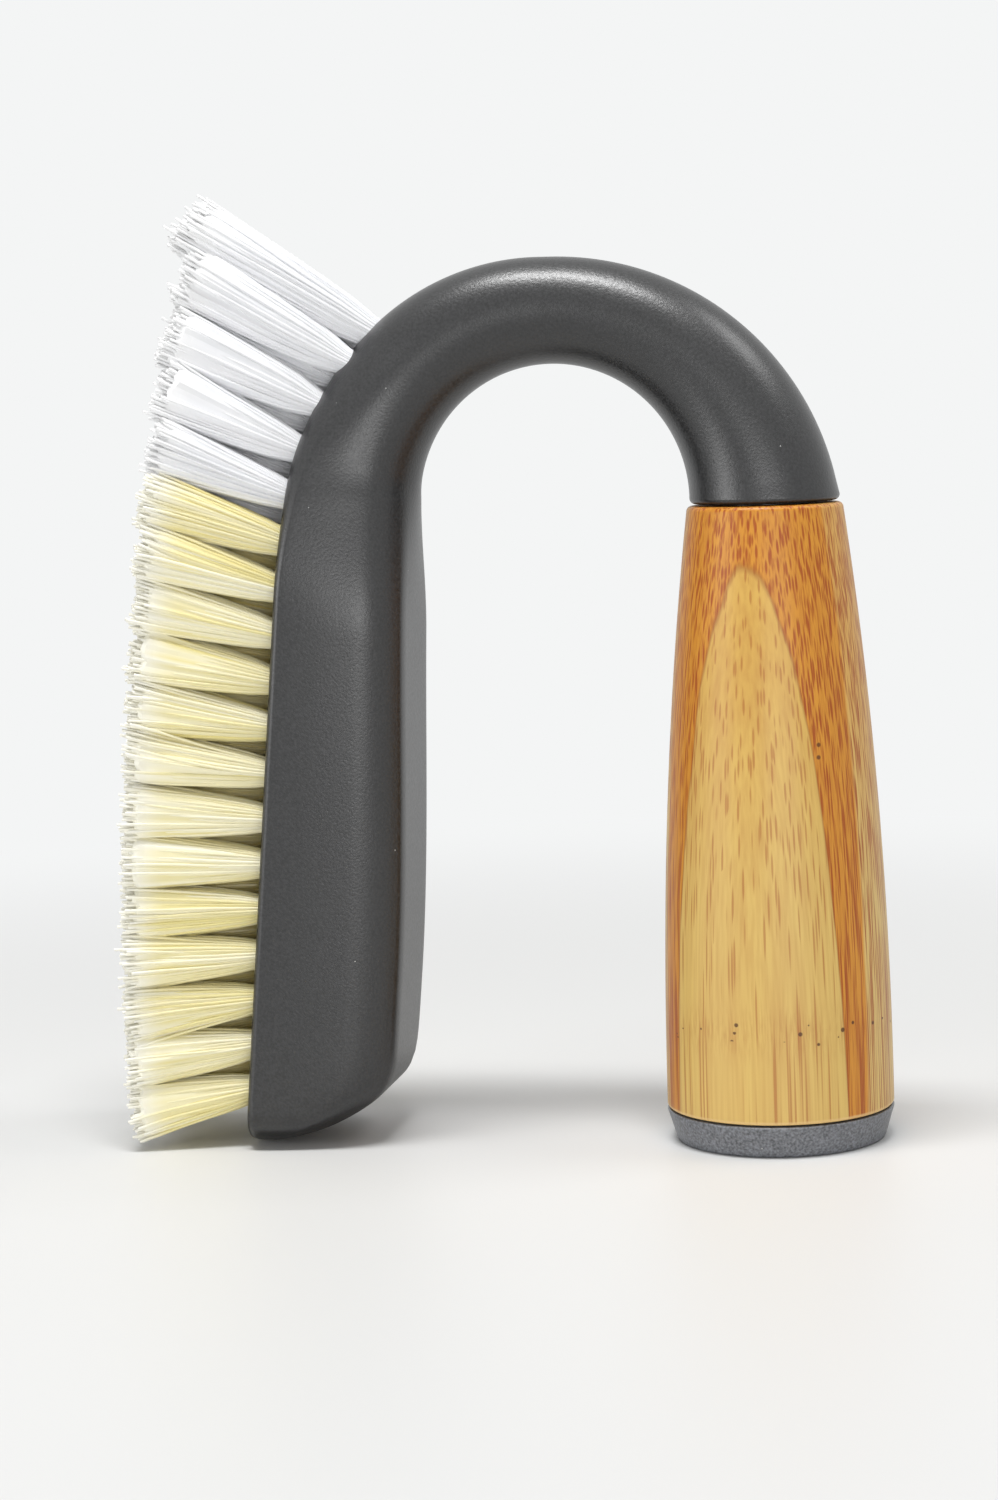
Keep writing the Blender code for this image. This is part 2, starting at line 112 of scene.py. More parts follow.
def linear(colour: str) -> tuple[float, float, float, float]:
    """Turns an sRGB hex colour into the linear colour that a shader takes.

    Args:
        colour: six hex digits after a hash sign.

    Returns:
        Red, green, blue and an alpha of 1.
    """
    channels = [int(colour[place:place + 2], 16) / 255 for place in (1, 3, 5)]
    red, green, blue = (
        value / 12.92 if value <= 0.04045 else ((value + 0.055) / 1.055) ** 2.4
        for value in channels
    )
    return red, green, blue, 1.0


def set_inputs(tree: bpy.types.NodeTree, node: bpy.types.Node, inputs: dict) -> None:
    """Fills input sockets of a node.

    Args:
        tree: the node tree of a material or of the world.
        node: the node.
        inputs: for each input socket, by name or place, the value that it holds, or the socket or
            the node that it reads. A node is read from its first output in use.
    """
    for place, value in inputs.items():
        if isinstance(value, bpy.types.Node):
            value = next(output for output in value.outputs if output.enabled)
        if isinstance(value, bpy.types.NodeSocket):
            tree.links.new(value, node.inputs[place])
        else:
            node.inputs[place].default_value = value


def add_node(
    tree: bpy.types.NodeTree, kind: str, inputs: dict | None = None, **settings: str | bool
) -> bpy.types.Node:
    """Adds a node to a tree, with its settings and links.

    Args:
        tree: the node tree of a material or of the world.
        kind: Blender's name for the kind of node.
        inputs: what its input sockets hold or read.
        settings: the node's own settings.

    Returns:
        The new node.
    """
    node = tree.nodes.new(kind)
    for name, value in settings.items():
        setattr(node, name, value)
    set_inputs(tree, node, inputs or {})
    return node


def new_material(name: str) -> tuple[bpy.types.Material, bpy.types.NodeTree, bpy.types.Node]:
    """Starts a material.

    Args:
        name: the material's name.

    Returns:
        The material, its node tree and its Principled shader.
    """
    material = bpy.data.materials.new(name)
    material.use_nodes = True
    tree = material.node_tree
    return material, tree, tree.nodes["Principled BSDF"]


def new_piece(name: str, shape: bmesh.types.BMesh, by_angle: bool = True) -> bpy.types.Object:
    """Makes an object at the origin from a bmesh, which it frees, and shades it smooth.

    Args:
        name: the piece's name.
        shape: the piece's mesh, in the model's frame.
        by_angle: whether edges past the sharp angle are marked sharp, or only the bmesh's own.

    Returns:
        The new object.
    """
    mesh = bpy.data.meshes.new(name)
    shape.to_mesh(mesh)
    shape.free()
    if by_angle:
        mesh.shade_smooth()
        mesh.set_sharp_from_angle(angle=SHARP_ANGLE)
    piece = bpy.data.objects.new(name, mesh)
    bpy.context.scene.collection.objects.link(piece)
    return piece


def seat_piece(piece: bpy.types.Object, node: str, material: bpy.types.Material) -> None:
    """Dresses a finished piece and puts it in the place of its CAD node.

    Args:
        piece: the finished piece.
        node: the CAD node that it stands for.
        material: its finish.
    """
    piece.data.materials.clear()
    piece.data.materials.append(material)
    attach(piece, BODY)
    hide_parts(node)
    LOG.info("%s: %d faces", piece.name, len(piece.data.polygons))


def arc(centre: tuple[float, float], radius: float, start: float, steps: int) -> list[tuple[float, float]]:
    """Points of a quarter circle, anticlockwise.

    Args:
        centre: its centre.
        radius: its radius.
        start: the angle of its first point.
        steps: how many flats it has.

    Returns:
        The points, both ends among them.
    """
    angles = [start + math.pi / 2 * step / steps for step in range(steps + 1)]
    return [(centre[0] + radius * math.cos(a), centre[1] + radius * math.sin(a)) for a in angles]


def turn_solid(profile: list[tuple[float, float]], axis_x: float, sides: int) -> bmesh.types.BMesh:
    """Turns a profile about the axis of the grip.

    Args:
        profile: points of (radius, height), as a closed loop or from axis to axis.
        axis_x: where the axis stands.
        sides: how many flats the turn has.

    Returns:
        The solid's mesh.
    """
    shape = bmesh.new()
    corners = [shape.verts.new((radius, 0, height)) for radius, height in profile]
    edges = [shape.edges.new(ends) for ends in zip(corners, corners[1:])]
    if profile[0][0] > 0:
        edges.append(shape.edges.new((corners[-1], corners[0])))
    bmesh.ops.spin(
        shape,
        geom=corners + edges,
        axis=(0, 0, 1),
        cent=(0, 0, 0),
        angle=2 * math.pi,
        steps=sides,
        use_merge=True,
    )
    bmesh.ops.remove_doubles(shape, verts=shape.verts, dist=MERGE_DISTANCE)
    bmesh.ops.recalc_face_normals(shape, faces=shape.faces)
    bmesh.ops.translate(shape, verts=shape.verts, vec=(axis_x, 0, 0))
    return shape


@dataclass(frozen=True)
class BrushPlan:
    """Sizes that several pieces share, and the run from the heel over the crown to the grip.

    A place on the head is its distance down the face from where the straight face meets the round
    toe, which is negative on the toe. A place on the neck is an angle about the centre of the arch,
    from 0 at the grip to pi at the head.
    """

    axis_x: float
    grip_foot: float
    grip_top: float
    grip_base_radius: float
    fit_gap: float = 0.3 * MM
    grip_top_radius: float = 13.5 * MM
    neck_step_in: float = 0.6 * MM
    neck_crown_diameter: float = 18.4 * MM
    gap_half_width: float = 23.9 * MM
    gap_crown_rise: float = 24.9 * MM
    face_lean: float = math.radians(5.5)
    face_radius: float = 45.4 * MM
    head_half_width: float = 17.0 * MM
    head_depth: float = 24.9 * MM
    back_run: float = 85.0 * MM
    face_flare_start: float = 32.0 * MM
    face_flare_end: float = 18.0 * MM
    back_flare_start: float = 8.0 * MM
    back_flare_end: float = 24.0 * MM
    sole_radius: float = 31.0 * MM
    heel_rise: float = 7.5 * MM
    heel_fullness: float = 2.6
    heel_corner_sharpness: int = 12
    tenon_radius: float = 7.6 * MM
    tenon_length: float = 23.0 * MM
    screw_radius: float = 2.1 * MM

    @property
    def joint_level(self) -> float:
        """Level of the underside of the neck."""
        return self.grip_top + self.fit_gap

    @property
    def neck_end_radius(self) -> float:
        """Radius of the neck where it meets the grip."""
        return self.grip_top_radius - self.neck_step_in

    @property
    def arch_centre(self) -> Vector:
        """Centre of the arch."""
        return Vector((self.axis_x - self.gap_half_width - self.neck_end_radius, 0, self.joint_level))

    @property
    def crown_radius(self) -> float:
        """Distance from the centre of the arch to the top of its crown."""
        return self.gap_crown_rise + self.neck_crown_diameter

    @property
    def tangent_angle(self) -> float:
        """Angle about the centre of the arch where the straight face starts."""
        return math.pi - self.face_lean

    @property
    def face_length(self) -> float:
        """Length of the straight face, down to the floor."""
        return self.joint_level / math.cos(self.face_lean) + self.face_radius * math.tan(self.face_lean)

    def gap_radius(self, angle: float) -> float:
        """Distance from the centre of the arch to the inside of the neck."""
        return mix(self.gap_half_width, self.gap_crown_rise, math.sin(angle))

    def outer_radius(self, angle: float) -> float:
        """Distance from the centre of the arch to its outside.

        Args:
            angle: the angle about that centre.

        Returns:
            The distance.
        """
        if angle > math.pi / 2:
            share = math.cos(angle) / math.cos(self.tangent_angle)
            return mix(self.crown_radius, self.face_radius, share)
        thickness = mix(2 * self.neck_end_radius, self.neck_crown_diameter, math.sin(angle))
        return self.gap_radius(angle) + thickness

    def toe_angle(self, down: float) -> float:
        """Angle about the centre of the arch at a distance down the face."""
        return self.tangent_angle + min(down, 0) / self.face_radius

    def face_frame(self, down: float) -> tuple[Vector, Vector]:
        """Where the middle of the face is, and which way it looks.

        Args:
            down: distance down the face.

        Returns:
            The place and the direction square to the face.
        """
        angle = self.toe_angle(down)
        outward = Vector((math.cos(angle), 0, math.sin(angle)))
        place = self.arch_centre + outward * self.outer_radius(angle)
        return place + outward.cross(ACROSS) * max(down, 0), outward

    def face_flare(self, down: float) -> float:
        """How far the face has gone from the round neck (0) to the full head (1)."""
        return ease((down + self.face_flare_start) / (self.face_flare_start + self.face_flare_end))

    def back_flare(self, down: float) -> float:
        """The same for the back, which leaves the round of the neck lower down."""
        return ease((down + self.back_flare_start) / (self.back_flare_start + self.back_flare_end))

    def section_depth(self, down: float) -> float:
        """Thickness of the section from its face to its back.

        Args:
            down: distance down the face.

        Returns:
            The thickness, which goes to nothing at the floor.
        """
        angle = self.toe_angle(down)
        depth = self.outer_radius(angle) - self.gap_radius(angle)
        if down <= 0:
            return depth
        depth = mix(depth, self.head_depth, ease(down / self.back_run))
        slope = self.sole_radius * math.tan(self.face_lean)
        rise = self.face_length - down
        to_sole = math.sqrt(slope**2 + 2 * self.sole_radius * rise) - slope
        power = self.heel_corner_sharpness
        return (depth**-power + to_sole**-power) ** (-1 / power)

    def face_half_width(self, down: float) -> float:
        """Half width of the full head, drawn in round the heel."""
        drop = max(1 - (self.face_length - down) / self.heel_rise, 0)
        return self.head_half_width * (1 - drop**self.heel_fullness) ** (1 / self.heel_fullness)


@dataclass(frozen=True)
class MouldedPlastic:
    """Polypropylene from a spark-eroded mould: satin, with a fine even grain and a few dust flecks."""

    name: str
    colour: str
    roughness: float
    roughness_spread: float = 0.04
    grain: float = 0.45 * MM
    grain_height: float = 0.04 * MM
    speckle: float = 0.6
    mottle: float = 14.0 * MM
    mottle_amount: float = 0.06
    fleck_spacing: float = 3.9 * MM
    fleck_radius: float = 0.14 * MM
    fleck_core: float = 0.6
    fleck_share: float = 0.45
    fleck_colour: str = "#b4b4b2"
    gloss: float = 0.75
    refraction: float = 1.49

    def material(self) -> bpy.types.Material:
        """Makes the finish.

        Returns:
            The material.
        """
        material, tree, shader = new_material(self.name)
        place = add_node(tree, "ShaderNodeTexCoord").outputs["Object"]
        # The mould's grain is finer than a pixel, so it is drawn about three times as coarse
        grain, cloud = (
            add_node(tree, "ShaderNodeTexNoise", {"Vector": place, "Scale": 1 / size, "Detail": detail})
            for size, detail in ((self.grain, 2.0), (self.mottle, 3.0))
        )
        shade, speckle, sheen = (
            add_node(
                tree,
                "ShaderNodeMapRange",
                {
                    "Value": noise,
                    "From Min": NOISE_LOW,
                    "From Max": NOISE_HIGH,
                    "To Min": middle - spread,
                    "To Max": middle + spread,
                },
            )
            for noise, middle, spread in (
                (cloud, 1, self.mottle_amount),
                (grain, 1, self.speckle),
                (grain, self.roughness, self.roughness_spread),
            )
        )
        tint = add_node(tree, "ShaderNodeMath", {0: shade, 1: speckle}, operation="MULTIPLY")
        body = add_node(
            tree, "ShaderNodeVectorMath", {0: linear(self.colour)[:3], "Scale": tint}, operation="SCALE"
        )
        # Dust that clings to the plastic: a fleck near the middle of some cells
        cells = add_node(tree, "ShaderNodeTexVoronoi", {"Vector": place, "Scale": 1 / self.fleck_spacing})
        size = self.fleck_radius / self.fleck_spacing
        core = self.fleck_core * size
        near = add_node(tree, "ShaderNodeMapRange", {"Value": cells, "From Min": size, "From Max": core})
        chosen = add_node(
            tree, "ShaderNodeMath", {0: cells.outputs["Color"], 1: self.fleck_share}, operation="LESS_THAN"
        )
        fleck = add_node(tree, "ShaderNodeMath", {0: near, 1: chosen}, operation="MULTIPLY")
        colour = add_node(
            tree,
            "ShaderNodeMix",
            {MIX_FACTOR: fleck, MIX_FIRST: body, MIX_SECOND: linear(self.fleck_colour)},
            data_type="RGBA",
        )
        bump = add_node(
            tree, "ShaderNodeBump", {"Height": grain, "Distance": self.grain_height, "Strength": 1.0}
        )
        set_inputs(
            tree,
            shader,
            {
                "Base Color": colour,
                "Roughness": sheen,
                "Normal": bump,
                "IOR": self.refraction,
                "Specular IOR Level": self.gloss,
            },
        )
        return material


@dataclass(frozen=True)
class CaneNoise:
    """Noise drawn out along the cane, as its shades are.

    Its size is in millimetres across a strip's face, through the strip and up the cane. The pattern
    starts to show where the noise has the low value and is full at the high one, and amount is the
    share of the wood's colour that it then takes.
    """

    size: tuple[float, float, float]
    low: float = 0.0
    high: float = 1.0
    amount: float = 1.0

    def value(self, tree: bpy.types.NodeTree, place: bpy.types.Node) -> bpy.types.Node:
        """Adds the noise, mostly between -0.2 and 0.2.

        Args:
            tree: the material's node tree.
            place: the point in the block's frame.

        Returns:
            The node that gives it.
        """
        scale = tuple(1 / side for side in self.size)
        stretched = add_node(tree, "ShaderNodeVectorMath", {0: place, 1: scale}, operation="MULTIPLY")
        noise = add_node(
            tree, "ShaderNodeTexNoise", {"Vector": stretched, "Scale": 1.0, "Detail": 2.0, "Roughness": 0.5}
        )
        return add_node(tree, "ShaderNodeMath", {0: noise, 1: 0.5}, operation="SUBTRACT")


@dataclass(frozen=True)
class FibreBundles:
    """The cane's fibre bundles, cut by the surface: cells drawn out along the cane.

    A cell is in millimetres across a strip's face, through the strip and up the cane. The offset
    moves the pattern, so that two sets differ. The radius is a share of a cell, and the core, where
    the colour is full, a share of the radius. Shown is the share of the bundles that shows, and
    amount the share of the wood's colour that they take.
    """

    offset: float
    radius: float
    shown: float
    amount: float
    cell: tuple[float, float, float] = (0.58, 0.36, 60.0)
    randomness: float = 0.9
    core: float = 0.45

    def share(self, tree: bpy.types.NodeTree, place: bpy.types.Node) -> bpy.types.Node:
        """Adds the bundles.

        Args:
            tree: the material's node tree.
            place: the point in the block's frame.

        Returns:
            The node that gives how much of a bundle shows, from 0 to 1.
        """
        moved = add_node(
            tree,
            "ShaderNodeVectorMath",
            {0: place, 1: tuple(1 / side for side in self.cell), 2: (self.offset,) * 3},
            operation="MULTIPLY_ADD",
        )
        cells = add_node(
            tree, "ShaderNodeTexVoronoi", {"Vector": moved, "Scale": 1.0, "Randomness": self.randomness}
        )
        spot = add_node(
            tree,
            "ShaderNodeMapRange",
            {"Value": cells, "From Min": self.radius, "From Max": self.core * self.radius},
            interpolation_type="SMOOTHSTEP",
        )
        chosen = add_node(
            tree, "ShaderNodeMath", {0: cells.outputs["Color"], 1: self.shown}, operation="LESS_THAN"
        )
        return add_node(tree, "ShaderNodeMath", {0: spot, 1: chosen}, operation="MULTIPLY")


@dataclass(frozen=True)
class TurnedBamboo:
    """Bamboo strips glued in layers, turned and varnished: a pale strip shows in an orange one.

    The pattern's sizes are millimetres, and axis_x, foot and groove are metres. A joint's two
    numbers are where its colour starts and where it is full, about its depth. The fibre bundles run
    up the cane, so the turned surface cuts them as short dashes where it tapers and as long lines
    where it is upright.
    """

    name: str
    axis_x: float
    foot: float
    pale: str = "#d8ae57"
    orange: str = "#d79533"
    honey: str = "#e3cc80"
    fibre: str = "#9c420a"
    # Painted highlight: the lighter cream colour of the band along the rounded foot edge
    painted_foot_highlight: str = "#e6c283"
    glue: str = "#934a16"
    pit: str = "#451b06"
    layer_turn: float = math.radians(-7.0)
    pale_depth: float = 13.02
    pale_tilt: float = -0.0163
    pale_joint: tuple[float, float] = (0.06, -0.1)
    honey_depth: float = 9.4
    honey_tilt: float = 0.022
    honey_joint: tuple[float, float] = (0.5, -0.5)
    honey_amount: float = 0.4
    low_levels: tuple[float, float] = (95.0, 35.0)
    low_amount: float = 0.45
    low_honey_amount: float = 0.8
    back_shift: float = 1.6
    wander: CaneNoise = CaneNoise((6.0, 6.0, 28.0))
    wander_reach: float = 0.9
    glue_width: float = 0.2
    glue_amount: float = 0.5
    cloud: CaneNoise = CaneNoise((4.0, 1.4, 60.0), -0.25, 0.25, 0.16)
    grain: CaneNoise = CaneNoise((0.7, 0.3, 30.0), -0.2, 0.25, 0.2)
    streaks: CaneNoise = CaneNoise((0.5, 0.35, 11.0), 0.0, 0.22, 0.5)
    sparse: FibreBundles = FibreBundles(5.5, 0.486, 0.6175, 0.5)
    dense: FibreBundles = FibreBundles(0.0, 0.54, 0.95, 0.85)
    node_level: float = 21.5
    node_height: float = 7.0
    node_stain: CaneNoise = CaneNoise((0.4, 0.4, 4.0), -0.15, 0.25, 0.3)
    pit_height: float = 2.6
    pit_spacing: float = 1.5
    pit_radius: float = 0.5
    pit_core: float = 0.6
    pit_shrink: float = 1.8
    pit_amount: float = 0.85
    borer_holes: tuple[tuple[float, float, float], ...] = ((11.33, -13.32, 70.3), (11.31, -13.54, 68.2))
    borer_hole_radius: float = 0.5
    borer_hole_core: float = 0.25
    borer_hole_amount: float = 0.8
    # Where the painted highlight on the foot edge starts and is full above the foot, and how strong it is
    painted_highlight_reach: float = 0.8
    painted_highlight_core: float = 0.4
    painted_highlight_amount: float = 0.7
    roughness: float = 0.45
    gloss: float = 0.35
    varnish: float = 0.12
    varnish_roughness: float = 0.22
    groove: float = 0.02 * MM

    def block_place(self, tree: bpy.types.NodeTree) -> bpy.types.Node:
        """Adds the frame of the glued block: millimetres from the axis of the grip.

        Args:
            tree: the material's node tree.

        Returns:
            The node that gives the point in that frame.
        """
        axis, turn = self.axis_x / MM, self.layer_turn
        return add_node(
            tree,
            "ShaderNodeMapping",
            {
                "Vector": add_node(tree, "ShaderNodeTexCoord").outputs["Object"],
                "Location": (-axis * math.cos(turn), axis * math.sin(turn), 0.0),
                "Rotation": (0.0, 0.0, -turn),
                "Scale": (1 / MM, 1 / MM, 1 / MM),
            },
        )

    def depths(self, tree: bpy.types.NodeTree, place: bpy.types.Node) -> tuple[bpy.types.Node, ...]:
        """Adds how far out in the block of strips a point lies, which sets the strip that shows.

        Args:
            tree: the material's node tree.
            place: the point in the block's frame.

        Returns:
            The nodes that give the depth from the middle of the block, in millimetres, along the
            tilt of the pale strip and along that of the honey one.
        """
        parts = add_node(tree, "ShaderNodeSeparateXYZ", {0: place}).outputs
        front = add_node(tree, "ShaderNodeMath", {0: parts["Y"], 1: -1.0}, operation="MULTIPLY")
        back = add_node(tree, "ShaderNodeMath", {0: parts["Y"], 1: self.back_shift}, operation="SUBTRACT")
        out = add_node(tree, "ShaderNodeMath", {0: front, 1: back}, operation="MAXIMUM")
        wander = self.wander.value(tree, place)
        depths = []
        for tilt in (self.pale_tilt, self.honey_tilt):
            depth = out
            for source, factor in ((parts["Z"], tilt), (wander, self.wander_reach)):
                inputs = {0: source, 1: factor, 2: depth}
                depth = add_node(tree, "ShaderNodeMath", inputs, operation="MULTIPLY_ADD")
            depths.append(depth)
        return tuple(depths)

    def pits(
        self, tree: bpy.types.NodeTree, place: bpy.types.Node, band: bpy.types.Node
    ) -> bpy.types.Node:
        """Adds the tiny dark pits where a node of the cane was.

        Args:
            tree: the material's node tree.
            place: the point in the block's frame.
            band: how near the level of the node the point is, from 0 to 1.

        Returns:
            The node that gives 1 in a pit and 0 outside.
        """
        cells = add_node(tree, "ShaderNodeTexVoronoi", {"Vector": place, "Scale": 1 / self.pit_spacing})
        size = self.pit_radius / self.pit_spacing
        chance = add_node(tree, "ShaderNodeSeparateColor", {0: cells.outputs["Color"]}).outputs
        shrink = add_node(
            tree, "ShaderNodeMath", {0: chance["Green"], 1: self.pit_shrink, 2: 1.0}, operation="MULTIPLY_ADD"
        )
        distance = add_node(tree, "ShaderNodeMath", {0: cells, 1: shrink}, operation="MULTIPLY")
        inside = add_node(
            tree,
            "ShaderNodeMapRange",
            {"Value": distance, "From Min": size, "From Max": self.pit_core * size},
            interpolation_type="SMOOTHSTEP",
        )
        chosen = add_node(tree, "ShaderNodeMath", {0: chance["Red"], 1: band}, operation="LESS_THAN")
        return add_node(tree, "ShaderNodeMath", {0: inside, 1: chosen}, operation="MULTIPLY")

    def shares(self, tree: bpy.types.NodeTree, place: bpy.types.Node) -> dict[str, bpy.types.Node]:
        """Adds where each colour of the wood lies.

        Args:
            tree: the material's node tree.
            place: the point in the block's frame.

        Returns:
            For each part of the pattern, the node that gives how much of it shows, from 0 to 1.
        """
        level = add_node(tree, "ShaderNodeSeparateXYZ", {0: place}).outputs["Z"]
        depth, deep = self.depths(tree, place)
        off_glue, off_node = (
            add_node(
                tree,
                "ShaderNodeMath",
                {0: add_node(tree, "ShaderNodeMath", {0: value, 1: middle}, operation="SUBTRACT")},
                operation="ABSOLUTE",
            )
            for value, middle in ((depth, self.pale_depth), (level, self.node_level))
        )
        foot = self.foot / MM
        edges = {
            "low": (level, *self.low_levels),
            "orange": (depth, *(self.pale_depth + edge for edge in self.pale_joint)),
            "honey": (deep, *(self.honey_depth + edge for edge in self.honey_joint)),
            "glue": (off_glue, self.glue_width, 0.0),
            "node": (off_node, self.node_height, 0.0),
            "pit_band": (off_node, self.pit_height, 0.0),
            # The painted highlight along the rounded foot edge
            "painted_foot_highlight": (level, foot + self.painted_highlight_reach, foot + self.painted_highlight_core),
        }
        noises = {"cloud": self.cloud, "grain": self.grain, "streaks": self.streaks}
        noises["node_stain"] = self.node_stain
        for name, noise in noises.items():
            edges[name] = (noise.value(tree, place), noise.low, noise.high)
        for hole, middle in enumerate(self.borer_holes):
            away = add_node(tree, "ShaderNodeVectorMath", {0: place, 1: middle}, operation="DISTANCE")
            edges[f"borer_hole_{hole}"] = (away, self.borer_hole_radius, self.borer_hole_core)
        shares = {
            name: add_node(
                tree,
                "ShaderNodeMapRange",
                {"Value": value, "From Min": start, "From Max": full},
                interpolation_type="SMOOTHSTEP",
            )
            for name, (value, start, full) in edges.items()
        }
        shares["sparse"] = self.sparse.share(tree, place)
        shares["dense"] = self.dense.share(tree, place)
        shares["pits"] = self.pits(tree, place, shares["pit_band"])
        shares["low_honey"] = shares["honey"]
        for name, within in (
            ("low_honey", "low"),
            ("streaks", "orange"),
            ("dense", "orange"),
            ("node_stain", "node"),
        ):
            inputs = {0: shares[name], 1: shares[within]}
            shares[name] = add_node(tree, "ShaderNodeMath", inputs, operation="MULTIPLY")
        return shares

    def material(self) -> bpy.types.Material:
        """Makes the finish: lays the colours over the pale wood, from the strips to the marks, and last a
        painted highlight along the foot.

        Returns:
            The material.
        """
        material, tree, shader = new_material(self.name)
        shares = self.shares(tree, self.block_place(tree))
        layers = [
            ("low", self.low_amount, self.honey),
            ("orange", 1.0, self.orange),
            ("honey", self.honey_amount, self.honey),
            ("low_honey", self.low_honey_amount, self.honey),
            ("cloud", self.cloud.amount, self.fibre),
            ("grain", self.grain.amount, self.fibre),
            ("streaks", self.streaks.amount, self.fibre),
            ("sparse", self.sparse.amount, self.fibre),
            ("dense", self.dense.amount, self.fibre),
            ("glue", self.glue_amount, self.glue),
            ("node_stain", self.node_stain.amount, self.fibre),
            ("pits", self.pit_amount, self.pit),
        ]
        for hole in range(len(self.borer_holes)):
            layers.append((f"borer_hole_{hole}", self.borer_hole_amount, self.pit))
        # The painted highlight on the foot edge, laid over all the rest
        layers.append(("painted_foot_highlight", self.painted_highlight_amount, self.painted_foot_highlight))
        colour = linear(self.pale)
        for name, amount, over in layers:
            share = add_node(tree, "ShaderNodeMath", {0: shares[name], 1: amount}, operation="MULTIPLY")
            inputs = {MIX_FACTOR: share, MIX_FIRST: colour, MIX_SECOND: linear(over)}
            colour = add_node(tree, "ShaderNodeMix", inputs, data_type="RGBA")
        bump = add_node(
            tree,
            "ShaderNodeBump",
            {"Height": shares["dense"], "Distance": self.groove, "Strength": 1.0},
            invert=True,
        )
        set_inputs(
            tree,
            shader,
            {
                "Base Color": colour,
                "Normal": bump,
                "Roughness": self.roughness,
                "Specular IOR Level": self.gloss,
                "Coat Weight": self.varnish,
                "Coat Roughness": self.varnish_roughness,
            },
        )
        return material


@dataclass(frozen=True)
class NylonFilament:
    """Drawn nylon filament, cut at the tip: golden or blue-grey in the tuft, bright at its cut end."""

    name: str
    root: str
    body: str
    tip: str
    tip_start: float = 0.7
    tip_full: float = 1.02
    roughness: float = 0.32
    refraction: float = 1.53

    def material(self) -> bpy.types.Material:
        """Makes the finish. A strand's UV holds its own tone and how far along it a point is.

        Returns:
            The material.
        """
        material, tree, shader = new_material(self.name)
        coordinates = add_node(tree, "ShaderNodeTexCoord").outputs["UV"]
        where = add_node(tree, "ShaderNodeSeparateXYZ", {0: coordinates}).outputs
        near_tip = add_node(
            tree,
            "ShaderNodeMapRange",
            {"Value": where["Y"], "From Min": self.tip_start, "From Max": self.tip_full},
            interpolation_type="SMOOTHSTEP",
        )
        colour = linear(self.root)
        for share, over in ((where["X"], self.body), (near_tip, self.tip)):
            inputs = {MIX_FACTOR: share, MIX_FIRST: colour, MIX_SECOND: linear(over)}
            colour = add_node(tree, "ShaderNodeMix", inputs, data_type="RGBA")
        inputs = {"Base Color": colour, "Roughness": self.roughness, "IOR": self.refraction}
        set_inputs(tree, shader, inputs)
        return material


@dataclass(frozen=True)
class ZincPlatedSteel:
    """Bright zinc plate on a pressed steel washer and screw: cool, with a faint cloudy sheen."""

    name: str
    colour: str = "#b9bbbe"
    roughness: float = 0.3
    roughness_spread: float = 0.08
    cloud: float = 1.5 * MM

    def material(self) -> bpy.types.Material:
        """Makes the finish.

        Returns:
            The material.
        """
        material, tree, shader = new_material(self.name)
        place = add_node(tree, "ShaderNodeTexCoord").outputs["Object"]
        cloud = add_node(
            tree, "ShaderNodeTexNoise", {"Vector": place, "Scale": 1 / self.cloud, "Detail": 3.0}
        )
        low, high = self.roughness - self.roughness_spread, self.roughness + self.roughness_spread
        sheen = add_node(tree, "ShaderNodeMapRange", {"Value": cloud, "To Min": low, "To Max": high})
        inputs = {"Base Color": linear(self.colour), "Roughness": sheen, "Metallic": 1.0}
        set_inputs(tree, shader, inputs)
        return material


